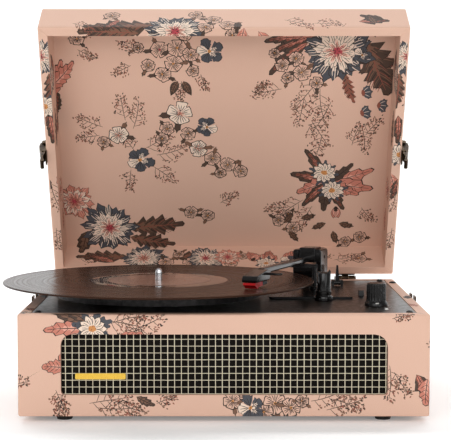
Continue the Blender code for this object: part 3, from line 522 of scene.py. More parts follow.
    def pansy(self, x, y, radius, turn=0):
        self.at(x, y, turn)
        for k in range(5):
            angle = 72 * k + self.random.uniform(-9, 9)
            lobe = self.blade(self.about(radius, 0.1), radius * 0.92, 4, 0.22, full=1.45)
            self.outlined("cream" if k == 2 else "slate", lobe, 1.05, angle)
            heart = self.blade(radius * 0.6, radius * 0.5, 4, 0.6)
            if k % 2 == 0:
                self.add("cream", heart, angle)
            for off in (-0.18, 0.0, 0.18):
                path = [(radius * 0.15, 0), (radius * 0.45, off * radius * 0.8)]
                path.append((radius * self.about(0.75), off * radius * 1.4))
                self.stroke("line", path, 0.6, angle)
        self.stamens(radius * 0.14, "amber", 3)

    def blossom(self, x, y, radius, turn=0, fill="ground", heart="amber"):
        """A loose flower in pen lines: leaflets, five frilled petals and a curled middle."""
        self.at(x, y, turn)
        first = self.random.uniform(0, 360)
        for _ in range(2):
            angle = first + 72 * self.random.randint(0, 4) + 36
            leaf = self.blade(self.about(radius * 1.5), radius * 0.46, 3, 0.3, full=1.1)
            self.outlined(self.random.choice(("umber", "brown")), leaf, (1.03, 1.2), angle)
        for k in range(5):
            angle = first + 72 * k + self.random.uniform(-8, 8)
            long = self.about(radius, 0.12)
            lobe = self.blade(long, self.about(0.98 * radius), 3, 0.14, full=1.45)
            lobe[len(lobe) // 2] *= 0.84
            self.add("line", lobe, angle)
            pen = 0.95 / max(long, 1)
            self.add(fill, lobe * (1 - pen, 1 - 2.2 * pen), angle)
            for off in (-0.17, 0.0, 0.16):
                path = [(long * 0.18, off * long * 0.3), (long * 0.4, off * long * 0.8)]
                path.append((long * self.random.uniform(0.52, 0.74), off * long * 1.2))
                self.stroke("line", path, 0.75, angle)
        if fill == "cream":
            self.curls(radius * 0.42, "coral", 5)
        self.curls(radius * 0.3, "line", 5)
        self.stamens(radius * 0.12, heart, 3)

    def bud(self, x, y, length, turn):
        self.at(x, y, turn)
        for off, ink in ((10, "coral"), (-10, "coral"), (0, "blush")):
            shape = self.blade(length * (0.9 if off else 0.84), length * 0.42, 0, full=1.1)
            self.outlined(ink, shape, (1.04, 1.1), off)
        for off in (-0.07 * length, 0, 0.07 * length):
            path = [(length * 0.3, off * 0.5), (length * 0.5, off), (length * 0.76, off)]
            self.stroke("rust", path, 0.55)
        self.add("line", self.blade(length * 0.45, length * 0.4, 3, 0.5))

    def bell(self, x, y, size, turn):
        self.at(x, y, turn)
        for angle in (-34, 0, 34):
            self.outlined("slate", self.blade(size, size * 0.6, 3, 0.3, full=1.3), 1.05, angle)
            self.stroke("cream", [(size * 0.3, 0), (size * 0.55, 0.3), (size * 0.8, 0)], 0.6, angle)
        self.add("rust", self.blade(size * 0.36, size * 0.8, 3, 0.3))

    # ---- leaves and stems

    def plume(self, x, y, length, width, turn, bend=0.2, edge="brown", core="umber"):
        """A dark leaf of long pointed lobes, brushed lighter from its foot."""
        self.at(x, y, turn)
        self.outlined(edge, self.blade(length, width, 6, 0.52, bend, full=0.8), 1.02)
        self.add(core, self.blade(length * 0.62, width * 0.42, 6, 0.5, bend * 0.6, full=0.7))
        for k in range(1, 13):
            t = 0.04 + 0.06 * k
            x0, y0 = along(length, bend, t)
            reach = width * 0.46 * math.sin(math.pi * t**0.8) * self.about(0.85)
            for sign in (1, -1):
                path = [(x0, y0), (x0 + reach * 0.45, y0 + sign * reach * 0.45)]
                path.append((x0 + reach * 1.05, y0 + sign * reach * 0.85))
                ink = ("rust", core, "line")[(k + (sign > 0)) % 3]
                self.stroke(ink, path, self.about(0.95, 0.25))
        self.stroke("rust", [along(length, bend, t) for t in np.linspace(0.02, 0.9, 8)], 0.9)

    def leaf(self, x, y, length, width, turn, fill="coral", bend=0.1, teeth=4):
        self.at(x, y, turn)
        width *= 1.18
        under = "brown" if fill in ("rust", "umber") else fill
        self.outlined(under, self.blade(length, width, teeth, 0.24, bend), (1.03, 1.1))
        self.add(fill, self.blade(length * 0.9, width * 0.6, max(teeth, 3), 0.5, bend * 0.9))
        if fill in ("coral", "rust"):
            light = "blush" if fill == "coral" else "coral"
            self.add(light, self.blade(length * 0.72, width * 0.42, 4, 0.6, bend * 0.7))
        self.stroke("line", [along(length, bend, t) for t in np.linspace(0.0, 0.92, 6)], 0.75)
        for t in (0.22, 0.4, 0.58, 0.74):
            x0, y0 = along(length, bend, t)
            reach = width * 0.4 * math.sin(math.pi * t**0.75)
            for sign in (1, -1):
                path = [(x0, y0), (x0 + reach * 0.5, y0 + sign * reach * 0.6)]
                self.stroke("line", path + [(x0 + reach * 0.9, y0 + sign * reach)], 0.55)

    def sprig(self, x, y, length, turn):
        """A thin stem with side shoots of small seeds and dashes."""
        bend = self.random.uniform(-0.25, 0.25)
        self.at(x, y, turn)
        self.stroke("line", [along(length, bend, t) for t in np.linspace(0, 1, 7)], 0.7)
        for k in range(10):
            t = (k + 1) / 10.6
            x0, y0 = along(length, bend, t)
            sign = 1 if k % 2 else -1
            reach = self.about(length * 0.22 * (1.25 - t), 0.25)
            x1, y1 = x0 + reach * 0.7, y0 + sign * reach
            self.stroke("line", [(x0, y0), ((x0 + x1) / 2, y0 + sign * reach * 0.6), (x1, y1)], 0.6)
            for _ in range(6):
                shift = x1 + self.random.gauss(0, 1.7), y1 + self.random.gauss(0, 1.5)
                angle = self.random.uniform(-70, 70)
                dash = np.array(DASH) * (self.about(2.4, 0.3), 1.3)
                ink = self.random.choice(("line", "umber", "umber", "rust"))
                self.add(ink, dash, angle, shift)


def paint_lining(art):
    """The big bouquet over the lid's lining: x to the right, y up from the hinge."""
    many = art.many
    many("sprig", (
        (96, 212, 38, 235), (84, 196, 34, 262), (100, 206, 42, 268), (112, 190, 40, 250), (92, 168, 36, 300),
        (104, 150, 30, 262), (146, 160, 30, 285), (60, 205, 30, 190), (136, 138, 26, 80), (150, 150, 24, 60),
    ))
    many("plume", ((136, 262, 72, 44, -48, -0.12), (148, 256, 62, 36, -74, 0.1), (122, 282, 54, 34, -8, 0.1)))
    art.plume(126, 222, 34, 14, -84, 0.2, "rust", "umber")
    leaves = (92, 266, 46, 15, 196), (86, 258, 52, 13, 214), (80, 264, 38, 12, 178), (98, 280, 30, 12, 165)
    many("leaf", leaves, "rust", 0.15)
    art.dahlia(116, 248, 36)
    art.pansy(142, 244, 9)
    ring = (74, 240, 10), (60, 232, 9), (80, 224, 11), (66, 218, 8), (96, 212, 9), (52, 246, 7)
    many("blossom", ring, 20)
    many("bell", ((143, 200, 12, 10), (160, 186, 12, -5), (143, 176, 12, 15)))
    # the pair of daisies on spread leaves
    for turn, long, wide, ink in (
        (14, 50, 13, "coral"), (-14, 48, 17, "coral"), (118, 48, 11, "rust"), (160, 42, 14, "rust"),
        (196, 36, 15, "coral"), (222, 40, 11, "rust"), (258, 36, 13, "brown"), (292, 38, 11, "rust"),
        (38, 34, 10, "brown"), (330, 36, 12, "coral"),
    ):
        art.leaf(113, 92, long, wide, turn, ink, 0.08)
    many("daisy", ((108, 104, 13), (117, 82, 13, 15)))
    art.bud(122, 62, 17, -88)
    many("sprig", ((86, 70, 34, 215), (96, 62, 30, 240), (70, 60, 24, 180), (150, 60, 22, -60)))
    # pen-line peonies and a slate flower near the upper edge
    many("sprig", ((-84, 246, 26, 150), (-96, 232, 20, 210), (-44, 214, 22, 265), (-24, 222, 18, 280)))
    art.blossom(-66, 250, 11, 10, heart="rose")
    many("blossom", (
        (-48, 252, 12), (-78, 232, 9), (-52, 234, 11), (-64, 222, 10), (-34, 244, 10), (-32, 226, 8),
        (-40, 268, 10), (-88, 252, 7),
    ), 10)
    many("leaf", ((-48, 214, 18, 7, -120), (-42, 214, 18, 7, -70)), "umber", 0.1, 0)
    art.pansy(-15, 248, 14, 30)
    # the middle cluster
    many("sprig", (
        (-104, 168, 30, 100), (-96, 158, 34, 70), (-128, 160, 30, 160), (-132, 150, 24, 190),
        (-84, 134, 34, 30), (-76, 112, 30, -35), (-100, 108, 26, -100), (-72, 126, 34, 8),
        (-96, 132, 26, 120),
    ))
    pale = 0, "cream", "coral"
    many("blossom", ((-112, 150, 12), (-46, 176, 16)), *pale)
    many("blossom", ((-60, 158, 9), (-38, 152, 9)))
    art.blossom(-28, 134, 11, *pale)
    many("blossom", ((-12, 122, 10), (4, 114, 10), (18, 106, 9), (-4, 104, 8), (-66, 146, 8), (-128, 142, 8)))
    many("pansy", ((-90, 120, 15, 60), (-18, 160, 12, 200)))
    # lower left: coral aster, big dahlia and its plume
    many("plume", ((-106, 34, 62, 30, 4, 0.02), (-104, 22, 50, 24, -16, 0.1)))
    art.leaf(-150, 30, 34, 14, 250, "umber")
    art.aster(-163, 68, 22)
    art.dahlia(-126, 34, 31, 10)
    many("blossom", (
        (-36, 54, 9), (-18, 50, 9), (60, 44, 9), (76, 34, 9), (70, 52, 7), (150, 22, 9), (134, 16, 8)
    ))
    for x, y, turn in (
        (66, 40, 50), (84, 46, 10), (72, 30, -60), (112, 40, 200), (126, 40, -20), (120, 30, -80)
    ):
        art.leaf(x, y, 17, 7, turn, "umber", 0.1, 3)
    # red feathered leaves at the left edge
    many("leaf", ((-182, 196, 44, 14, 62), (-182, 206, 40, 14, 40)), "coral", 0.15, 6)
    many("leaf", ((-184, 176, 26, 14, 55), (-186, 158, 22, 14, 68)), "rust", 0.15, 6)
    many("sprig", ((-160, 262, 26, 20), (-150, 250, 20, -30), (30, 200, 18, 40), (-4, 66, 20, 40)))
    art.blossom(-150, 262, 9)
    # the strip that folds on to the wall beside the hinge
    art.plume(-104, -12, 58, 26, 176, 0.06)
    art.leaf(-120, -22, 34, 13, 150, "rust")
    art.dahlia(-88, -14, 24, heart="coral")
    art.plume(-58, -14, 46, 22, 10, 0.1)
    many("blossom", ((-64, -22, 10), (-36, -22, 10), (8, -24, 9), (-50, -6, 8), (20, -10, 8)))
    art.dahlia(-20, -14, 22)
    art.aster(4, -12, 15)
    for x, y, turn in ((34, -22, 104), (44, -20, 66), (56, -22, 112), (64, -16, 40)):
        art.leaf(x, y, 22, 11, turn, "coral", 0.1, 3)
    many("bud", ((30, -20, 18, 60), (50, -22, 18, 90)))
    art.daisy(46, -24, 11)
    art.pansy(72, -20, 11)
    art.blossom(148, -14, 10)
    many("sprig", ((84, -10, 32, 10), (120, -18, 28, 20), (-160, -16, 32, 10)))
    # and on to the other walls
    for side in (-1, 1):
        art.leaf(side * 186, 226, 34, 12, 90 - side * 20, "rust", 0.1, 6)
        art.plume(side * 200, 150, 44, 18, 80, 0.1)
        art.dahlia(side * 204, 232, 17)
        art.aster(side * 196, 96, 14)
        art.leaf(side * 190, 40, 28, 11, 84)
    art.dahlia(20, 306, 17)
    art.plume(36, 304, 40, 18, 8, 0.1)
    art.aster(-120, 306, 14)


def paint_lid_outside(art):
    """The lid's outer sheet, in the same layout turned over."""
    many = art.many
    many("sprig", ((-90, 200, 40, 300), (-110, 190, 40, 270), (60, 40, 34, 20), (-20, 160, 40, 80)))
    art.plume(-134, 250, 66, 34, 228, -0.1)
    art.leaf(-88, 262, 46, 14, -20, "rust", 0.15)
    art.dahlia(-116, 236, 33)
    many("blossom", ((-74, 232, 10), (-62, 220, 9), (-82, 214, 11)))
    many("blossom", ((50, 240, 12), (34, 246, 10), (62, 226, 9)))
    for turn, long, ink in (
        (20, 46, "coral"), (80, 40, "rust"), (140, 46, "coral"), (200, 44, "rust"), (262, 40, "brown"),
        (320, 46, "coral"),
    ):
        art.leaf(-112, 96, long, 14, turn, ink)
    many("daisy", ((-116, 104, 13), (-106, 84, 13)))
    art.pansy(90, 120, 15)
    cluster = (112, 150, 12), (46, 170, 15), (60, 152, 9), (28, 134, 11), (12, 120, 10), (-4, 110, 9)
    many("blossom", cluster, 0, "cream", "coral")
    art.pansy(18, 158, 12)
    art.plume(98, 40, 60, 28, 176, -0.05)
    art.aster(158, 72, 21)
    art.dahlia(122, 40, 30)
    many("sprig", ((110, 168, 30, 80), (130, 160, 30, 20), (84, 100, 34, 210), (-40, 50, 34, 160)))
    many("blossom", ((-30, 50, 9), (-14, 44, 9)))
    # the wall and rim that stand highest when the lid is open
    many("plume", ((-66, 334, 72, 30, 172, 0.1), (-84, 346, 60, 24, 184, -0.04)))
    art.leaf(-104, 322, 26, 10, 120, "rust", 0.1, 3)
    art.dahlia(-48, 344, 30)
    many("blossom", ((-10, 322, 10), (4, 334, 10), (-18, 338, 9), (-28, 310, 9), (-112, 312, 9), (8, 348, 8)))
    for x, y, turn in ((24, 348, 74), (34, 344, 52), (20, 340, 100), (44, 350, 66)):
        art.leaf(x, y, 24, 10, turn, "coral", 0.1, 3)
    art.leaf(14, 328, 18, 7, 90, "brown")
    art.leaf(134, 326, 30, 13, -10, "rust")
    art.leaf(160, 322, 26, 12, 200, "brown")
    art.leaf(150, 330, 20, 9, 250, "umber")
    many("sprig", ((60, 322, 30, 20), (-150, 330, 24, 30), (90, 330, 26, 0)))
    # side walls and rims
    for side in (-1, 1):
        art.dahlia(side * 230, 262, 20)
        art.plume(side * 238, 244, 40, 16, 266, 0.1)
        art.plume(side * 226, 222, 46, 20, 262, -0.1)
        art.daisy(side * 232, 150 if side > 0 else 206, 12)
        art.leaf(side * 236, 196, 32, 10, 262, "rust")
        art.leaf(side * 240, 128, 24, 9, 250, "coral")
        art.leaf(side * 230, 122, 26, 9, 280, "rust")
        art.pansy(side * 206, 80, 12)
        art.aster(side * 212, 30, 14)
        many("sprig", ((side * 232, 118, 34, 270), (side * 234, 60, 26, 270)))
    art.dahlia(80, -24, 18)
    art.plume(60, -22, 44, 20, 180, 0.1)
    art.aster(-90, -24, 16)
    art.leaf(-70, -24, 28, 10, 10, "rust")


def paint_case(art):
    """The belt round the case: x along the front and on round the corners, y up."""
    many = art.many
    many("sprig", (
        (-104, 86, 34, -4), (-84, 78, 34, 12), (-100, 84, 30, 22), (-150, 24, 22, -70), (-144, 20, 20, -100),
        (-120, 12, 34, 10), (-112, 8, 34, -8), (-96, 14, 26, -30), (78, 14, 34, 8), (92, 6, 34, 14),
        (96, 16, 28, -10), (148, 46, 30, -80), (152, 40, 24, -60), (150, 88, 18, 20), (-60, 12, 18, 20),
    ))
    many("leaf", (
        (-126, 84, 30, 11, 150, "umber"), (-124, 79, 36, 12, 176), (-122, 68, 30, 14, 208),
        (-142, 44, 20, 11, 172), (-120, 84, 26, 9, 142, "umber"), (-98, 70, 26, 8, 6),
        (-78, 18, 18, 7, -32, "umber"), (172, 38, 28, 13, -62, "rust"), (182, 34, 24, 12, -100),
    ))
    for turn in (20, 70, 120, 170, 330):
        art.at(-117, 80, turn)
        art.add("slate", art.blade(19, 8, 4, 0.3, full=1.2))
    art.daisy(-117, 79, 13)
    many("blossom", ((8, 14, 10), (46, 12, 12), (60, 8, 10), (36, 4, 9), (70, 14, 7), (20, 18, 7)))
    art.pansy(24, 8, 12, 40)
    # left side, right side and back
    for x in (-450, -330, -230, 240, 340, 440, 560, 640, 760):
        kind = (x // 10) % 3
        if kind == 0:
            art.plume(x + 10, 50, 48, 22, 12, 0.1)
            art.dahlia(x, 48, 24)
        elif kind == 1:
            art.leaf(x, 40, 34, 13, 30)
            art.leaf(x, 40, 34, 13, 150, "rust")
            art.aster(x, 42, 18)
        else:
            many("sprig", ((x, 60, 34, 10), (x, 56, 30, 160), (x, 50, 28, 250)))
            art.blossom(x - 12, 58, 11)
            art.pansy(x + 6, 50, 13)
        many("sprig", ((x + 26, 22, 30, 30), (x - 30, 74, 26, 200)))
        art.blossom(x + 34, 16, 9)
    # small pieces of the print on the rim
    many("leaf", (
        (188, 96, 24, 8, 70, "rust"), (240, 97, 24, 8, 12), (300, 98, 24, 8, -10, "brown"),
        (-230, 97, 24, 8, 14, "rust"), (-330, 98, 24, 8, 10, "brown"),
    ))
    art.pansy(-196, 99, 8)


# where the lining lies beside the lid's outer sheet
LINING_X = 1000.0


def sheet_of(seed, paint):
    art = Artwork(seed)
    paint(art)
    return art.shapes


lining = [(ink, points + (LINING_X, 0)) for ink, points in sheet_of(11, paint_lining)]
lid_print = sheet_of(12, paint_lid_outside) + lining
case_print = sheet_of(13, paint_case)


# ------------------------------------------------- laying the print on a mesh

# the cosine between the normals of faces in one plane
SAME_PLANE = 0.999999
# in millimetres: how far an outline may move, on its own and on a region's rim
SLACK, RIM_SLACK = 0.03, 0.001
# in millimetres: lower triangles than this are left out
SLIVER = 0.0015
# in metres: corners this near each other are one
WELD = 4e-6
# in metres: how far a corner may be from the border it belongs on, tried in turn
REACHES = 6e-6, 6e-6, 1.5e-5, 1.5e-5, 4e-5, 4e-5
# the mitre grooves: half width, depth, height above the rim and overrun
GROOVE = [0.2 * MM, 0.35 * MM, 0.3 * MM, 2 * MM]


def clipped(points, low, high):
    """A polygon cut to a rectangle."""
    for axis in (0, 1):
        for sign, limit in ((1, low[axis]), (-1, high[axis])):
            inside = sign * (points[:, axis] - limit) >= 0
            if inside.all():
                continue
            if not inside.any():
                return None
            kept = []
            for i, a in enumerate(points):
                j = (i + 1) % len(points)
                if inside[i]:
                    kept.append(a)
                if inside[i] != inside[j]:
                    b = points[j]
                    share = (limit - a[axis]) / (b[axis] - a[axis])
                    kept.append(a + share * (b - a))
            points = np.array(kept)
    return points if len(points) > 2 else None


def flat_regions(bm):
    """The mesh's faces in groups that lie in one plane and touch."""
    seen = set()
    for first in bm.faces:
        if first.index in seen:
            continue
        seen.add(first.index)
        region, queue = [], [first]
        while queue:
            face = queue.pop()
            region.append(face)
            for other in (other for edge in face.edges for other in edge.link_faces):
                if other.index not in seen and other.normal.dot(first.normal) >= SAME_PLANE:
                    seen.add(other.index)
                    queue.append(other)
        yield region


def crossings(points, starts, ends):
    """How many of the edges a ray from each point crosses."""
    px, py = points[:, 0][:, None], points[:, 1][:, None]
    (ax, ay), (bx, by) = starts.T, ends.T
    spans = (ay > py) != (by > py)
    with np.errstate(divide="ignore", invalid="ignore"):
        at = ax + (py - ay) * (bx - ax) / (by - ay)
    return (spans & (px < at)).sum(1)


def outlines(points, triangles, inks):
    """Where the ink changes or the region ends: directed edges and the ink on their left."""
    directed = triangles[:, [0, 1, 1, 2, 2, 0]].reshape(-1, 2).astype(np.int64)
    owner = np.repeat(inks, 3)
    key = directed.min(1) * len(points) + directed.max(1)
    _, inverse, counts = np.unique(key, return_inverse=True, return_counts=True)
    order = np.argsort(inverse, kind="stable")
    starts = np.r_[0, np.cumsum(counts)[:-1]]
    least = np.minimum.reduceat(owner[order], starts)
    most = np.maximum.reduceat(owner[order], starts)
    keep = ((counts == 1) | (least != most))[inverse]
    return {tuple(pair): ink for pair, ink in zip(directed[keep].tolist(), owner[keep].tolist())}


def straightened(points, edges, fixed):
    """Leaves out the corners that hardly bend an outline, and only straight ones on the rim."""
    beside = {}
    for first, second in edges:
        beside.setdefault(first, set()).add(second)
        beside.setdefault(second, set()).add(first)
    for middle in list(beside):
        if middle < fixed or len(beside[middle]) != 2:
            continue
        first, last = beside[middle]
        run = points[last] - points[first]
        away = points[middle] - points[first]
        length = math.hypot(*run)
        if last in beside[first] or length < 1e-6:
            continue
        on_rim = len({(first, middle), (middle, first)} & edges.keys()) == 1
        if abs(run[0] * away[1] - run[1] * away[0]) > (RIM_SLACK if on_rim else SLACK) * length:
            continue
        for start, end in ((first, last), (last, first)):
            ink = edges.pop((start, middle), None)
            edges.pop((middle, end), None)
            if ink is not None:
                edges[start, end] = ink
            beside[start].discard(middle)
            beside[start].add(end)
        del beside[middle]
    return edges


def inked(triangles, edges):
    """The ink of each triangle, spread from the outlines; -1 outside them."""
    inks = np.full(len(triangles), -1)
    sharing, queue = {}, []
    rows = triangles.tolist()
    for index, (a, b, c) in enumerate(rows):
        for side in ((a, b), (b, c), (c, a)):
            sharing[side] = index
            if side in edges and inks[index] < 0:
                inks[index] = edges[side]
                queue.append(index)
    while queue:
        index = queue.pop()
        a, b, c = rows[index]
        for first, second in ((a, b), (b, c), (c, a)):
            other = sharing.get((second, first), -1)
            if other < 0 or inks[other] >= 0:
                continue
            if (first, second) not in edges and (second, first) not in edges:
                inks[other] = inks[index]
                queue.append(other)
    return inks


def heights(corners):
    """The least height of each triangle."""
    sides = corners - np.roll(corners, 1, 1)
    double = np.abs(np.cross(sides[:, 0], sides[:, 1]))
    return double / np.maximum(np.linalg.norm(sides, axis=2).max(1), 1e-9)


def placed_shapes(sheet, flat, to_sheet, shapes, boxes):
    """The print's shapes that touch a region, in the region's own plane."""
    turn, shift = to_sheet[:2], to_sheet[2]
    low, high = flat.min(0), flat.max(0)
    if abs(np.linalg.det(turn)) < 0.2 or min(high - low) < 0.2:
        return
    back = np.linalg.inv(turn)
    touching = (boxes[:, 2:] > sheet.min(0) - 1) & (boxes[:, :2] < sheet.max(0) + 1)
    for index in np.flatnonzero(touching.all(1)):
        ink, points = shapes[index]
        points = clipped((points - shift) @ back, low - 0.6, high + 0.6)
        if points is None:
            continue
        area = np.cross(points, np.roll(points, -1, 0)).sum()
        if abs(area) > 1e-3:
            yield ink, points if area > 0 else points[::-1]


def cut_up(verts, edges, faces, reach):
    """A triangulation: its corners, triangles, what each stands for and where corners went."""
    out = delaunay_2d_cdt([Vector(v) for v in verts], edges, faces, 0, reach, True)
    owners = [owner for face, owner in zip(out[2], out[5]) if len(face) == 3]
    triangles = np.array([face for face in out[2] if len(face) == 3])
    return np.array([tuple(v) for v in out[0]]), triangles, owners, out[3]


def printed_region(region, chart, shapes, boxes):
    """One flat region cut along the print: its corners, triangles and inks."""
    normal = region[0].normal
    side = normal.orthogonal().normalized()
    up = normal.cross(side)
    origin = region[0].verts[0].co.copy()
    corners = {v.index: v for face in region for v in face.verts}
    order = {index: i for i, index in enumerate(corners)}
    places = np.array([v.co for v in corners.values()], float)
    offsets = (places - np.array(origin)) / MM
    flat = np.stack([offsets @ np.array(side), offsets @ np.array(up)], 1)
    inside = {face.index for face in region}
    rims = [
        (order[edge.verts[0].index], order[edge.verts[1].index])
        for face in region
        for edge in face.edges
        if sum(other.index in inside for other in edge.link_faces) == 1
    ]
    verts, faces, inks = [tuple(p) for p in flat], [], []
    sheet = chart(places, normal)
    to_sheet = np.array([(1.0, 0), (0, 1), (0, 0)])
    if sheet is not None:
        system = np.column_stack([flat, np.ones(len(flat))])
        to_sheet = np.linalg.lstsq(system, sheet, rcond=None)[0]
        for ink, points in placed_shapes(sheet, flat, to_sheet, shapes, boxes):
            faces.append(list(range(len(verts), len(verts) + len(points))))
            verts.extend(tuple(p) for p in points)
            inks.append(ink)
    points, triangles, owners, _ = cut_up(verts, rims, faces, 1e-4)
    starts, ends = flat[[a for a, _ in rims]], flat[[b for _, b in rims]]
    keep = crossings(points[triangles].mean(1), starts, ends) % 2 == 1
    chosen = np.array([0 if not owner else inks[max(owner)] for owner in owners])
    triangles, chosen = triangles[keep], chosen[keep]
    if faces:
        edges = straightened(points, outlines(points, triangles, chosen), len(flat))
        used = sorted({index for pair in edges for index in pair})
        new = {old: i for i, old in enumerate(used)}
        edges = {(new[a], new[b]): ink for (a, b), ink in edges.items()}
        points, triangles, _, sources = cut_up(points[used], list(edges), [], 1e-5)
        new = {old: i for i, olds in enumerate(sources) for old in olds}
        edges = {(new[a], new[b]): ink for (a, b), ink in edges.items()}
        chosen = inked(triangles, edges)
        triangles, chosen = triangles[chosen >= 0], chosen[chosen >= 0]
    full = heights(points[triangles]) > SLIVER
    used, triangles = np.unique(triangles[full], return_inverse=True)
    points = points[used]
    solid = points[:, :1] * MM * np.array(side) + points[:, 1:] * MM * np.array(up)
    sheet = np.column_stack([points, np.ones(len(points))]) @ to_sheet
    return solid + np.array(origin), triangles.reshape(-1, 3), chosen[full], sheet


def open_edges(bm):
    return [edge for edge in bm.edges if len(edge.link_faces) == 1]


def close_gaps(mesh):
    """Joins the regions' borders, adding the corners one side has and the other lacks."""
    bm = bmesh.new()
    bm.from_mesh(mesh)
    bmesh.ops.remove_doubles(bm, verts=bm.verts, dist=WELD)
    for reach in REACHES:
        gaps = open_edges(bm)
        if not gaps:
            break
        loose = list(dict.fromkeys(v for edge in gaps for v in edge.verts))
        places = np.array([v.co for v in loose])
        for edge in gaps:
            a, b = np.array(edge.verts[0].co), np.array(edge.verts[1].co)
            run = b - a
            length = np.linalg.norm(run)
            if length < 1e-5:
                continue
            t = (places - a) @ run / length**2
            near = np.linalg.norm(places - a - t[:, None] * run, axis=1) < reach
            hits = np.flatnonzero(near & (t * length > WELD) & ((1 - t) * length > WELD))
            start, done = edge.verts[0], 0.0
            for i in hits[np.argsort(t[hits])]:
                share = (t[i] - done) / (1 - done)
                if not 1e-6 < share < 1 - 1e-6:
                    continue
                edge, new = bmesh.utils.edge_split(edge, start, share)
                new.co = places[i]
                edge = next(e for e in new.link_edges if start not in e.verts)
                start, done = new, t[i]
        loose = list(dict.fromkeys(v for edge in open_edges(bm) for v in edge.verts))
        bmesh.ops.remove_doubles(bm, verts=loose, dist=reach)
    bmesh.ops.holes_fill(bm, edges=open_edges(bm), sides=6)
    bmesh.ops.dissolve_degenerate(bm, edges=bm.edges, dist=1e-6)
    bmesh.ops.triangulate(bm, faces=[f for f in bm.faces if len(f.verts) > 4])
    bmesh.ops.delete(bm, geom=[v for v in bm.verts if not v.link_faces], context="VERTS")
    bmesh.ops.recalc_face_normals(bm, faces=bm.faces)
    bm.to_mesh(mesh)
    bm.free()


def shown(name, mesh):
    """An object of the mesh, in the scene."""
    piece = bpy.data.objects.new(name, mesh)
    bpy.context.collection.objects.link(piece)
    return piece


def belongs(piece, body, replaces=None):
    """Which body the piece rides on, and what it stands for."""
    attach(piece, body)
    if replaces:
        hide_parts(replaces)
    return piece


def printed_copy(name, source, chart, shapes):
    """A copy of a mesh whose flat faces are cut up and coloured by the print."""
    bm = bmesh.new()
    bm.from_mesh(source)
    bmesh.ops.remove_doubles(bm, verts=bm.verts, dist=1e-6)
    bmesh.ops.triangulate(bm, faces=bm.faces)
    bm.faces.index_update()
    bm.verts.index_update()
    bm.normal_update()
    boxes = np.array([np.r_[p.min(0), p.max(0)] for _, p in shapes])
    verts, faces, inks, sheets = [], [], [], []
    for region in flat_regions(bm):
        points, triangles, chosen, sheet = printed_region(region, chart, shapes, boxes)
        faces.extend((triangles + len(verts)).tolist())
        verts.extend(points.tolist())
        inks.extend(chosen.tolist())
        sheets.extend(sheet.tolist())
    bm.free()
    mesh = bpy.data.meshes.new(name)
    mesh.from_pydata(verts, [], faces)
    for ink in INKS.values():
        mesh.materials.append(ink)
    mesh.polygons.foreach_set("material_index", inks)
    store = mesh.attributes.new("sheet", "FLOAT_VECTOR", "CORNER")
    corners = np.zeros(len(mesh.loops), np.int32)
    mesh.loops.foreach_get("vertex_index", corners)
    flat = np.zeros((len(corners), 3), np.float32)
    flat[:, :2] = np.array(sheets)[corners] * MM
    store.data.foreach_set("vector", flat.ravel())
    close_gaps(mesh)
    return shown(name, mesh)


# --------------------------------------------------- the wrapped lid and case


def lid_local(points):
    """World places as right, up from the hinge edge, and depth from the outer panel."""
    offsets = points - np.array(HINGE)
    cos, sin = math.cos(LID_OPEN), math.sin(LID_OPEN)
    back = offsets[:, 1] * cos - offsets[:, 2] * sin
    height = offsets[:, 1] * sin + offsets[:, 2] * cos
    up = -back - (HINGE.y - CASE_HIGH.y)
    depth = LID_TALL + RIM_GAP - height
    return np.stack([points[:, 0] - CASE_X, up, depth], 1) / MM


def lid_world(x, up, depth):
    """The other way: lid places in millimetres to the world."""
    back = -(up * MM + HINGE.y - CASE_HIGH.y)
    height = LID_TALL + RIM_GAP - depth * MM
    cos, sin = math.cos(LID_OPEN), math.sin(LID_OPEN)
    return Vector(
        (CASE_X + x * MM, HINGE.y + back * cos + height * sin, HINGE.z - back * sin + height * cos)
    )


def case_world(x, y, up):
    return Vector((CASE_X + x * MM, CASE_LOW.y + y * MM, CASE_LOW.z + up * MM))


HALF, LONG = CASE_HALF / MM, CASE_DEPTH / MM


def lid_chart(points, normal):
    """The two sheets of print on the lid, unfolded: the outer one and the lining."""
    x, up, depth = lid_local(points).T
    tall, wall, panel = LID_TALL / MM, LID_WALL / MM, LID_PANEL / MM
    side = abs(normal.x) > 0.7
    if abs(x).max() < HALF - wall + 0.1 and up.min() > wall - 0.1 and up.max() < LONG - wall + 0.1:
        fold = depth - panel
        if side:
            x = np.sign(x.mean()) * (HALF - wall + fold)
        elif np.ptp(depth) >= 0.1:
            up = wall - fold if up.mean() < LONG / 2 else LONG - wall + fold
        return np.stack([x, up], 1) + (LINING_X, 0)
    low = depth.mean() > tall / 2
    if low and np.ptp(depth) < 0.1:
        side = HALF - abs(x).mean() < min(up.mean(), LONG - up.mean())
    if side:
        x = np.sign(x.mean()) * (HALF + depth + HALF - abs(x) if low else abs(x) + depth)
    elif up.mean() > LONG / 2:
        up = LONG + depth + LONG - up if low else up + depth
    else:
        up = -depth - up if low else up - depth
    return np.stack([x, up], 1)


def case_chart(points, normal):
    """The belt of print round the case: along the perimeter and up."""
    x = (points[:, 0] - CASE_X) / MM
    y = (points[:, 1] - CASE_LOW.y) / MM
    up = (points[:, 2] - CASE_LOW.z) / MM
    rim = 2.0
    on_top = up.min() > CASE_HEIGHT / MM - rim
    if not (abs(x).min() > HALF - rim or y.max() < rim or y.min() > LONG - rim or on_top):
        return None
    side = abs(normal.x) > abs(normal.y)
    if on_top and abs(normal.z) > 0.9:
        side = HALF - abs(x).mean() < min(y.mean(), LONG - y.mean())
    if side:
        return np.stack([np.sign(x.mean()) * (HALF + y), up + (HALF - abs(x))], 1)
    if y.mean() < LONG / 2:
        return np.stack([x, up + y], 1)
    return np.stack([HALF + LONG + HALF - x, up + LONG - y], 1)


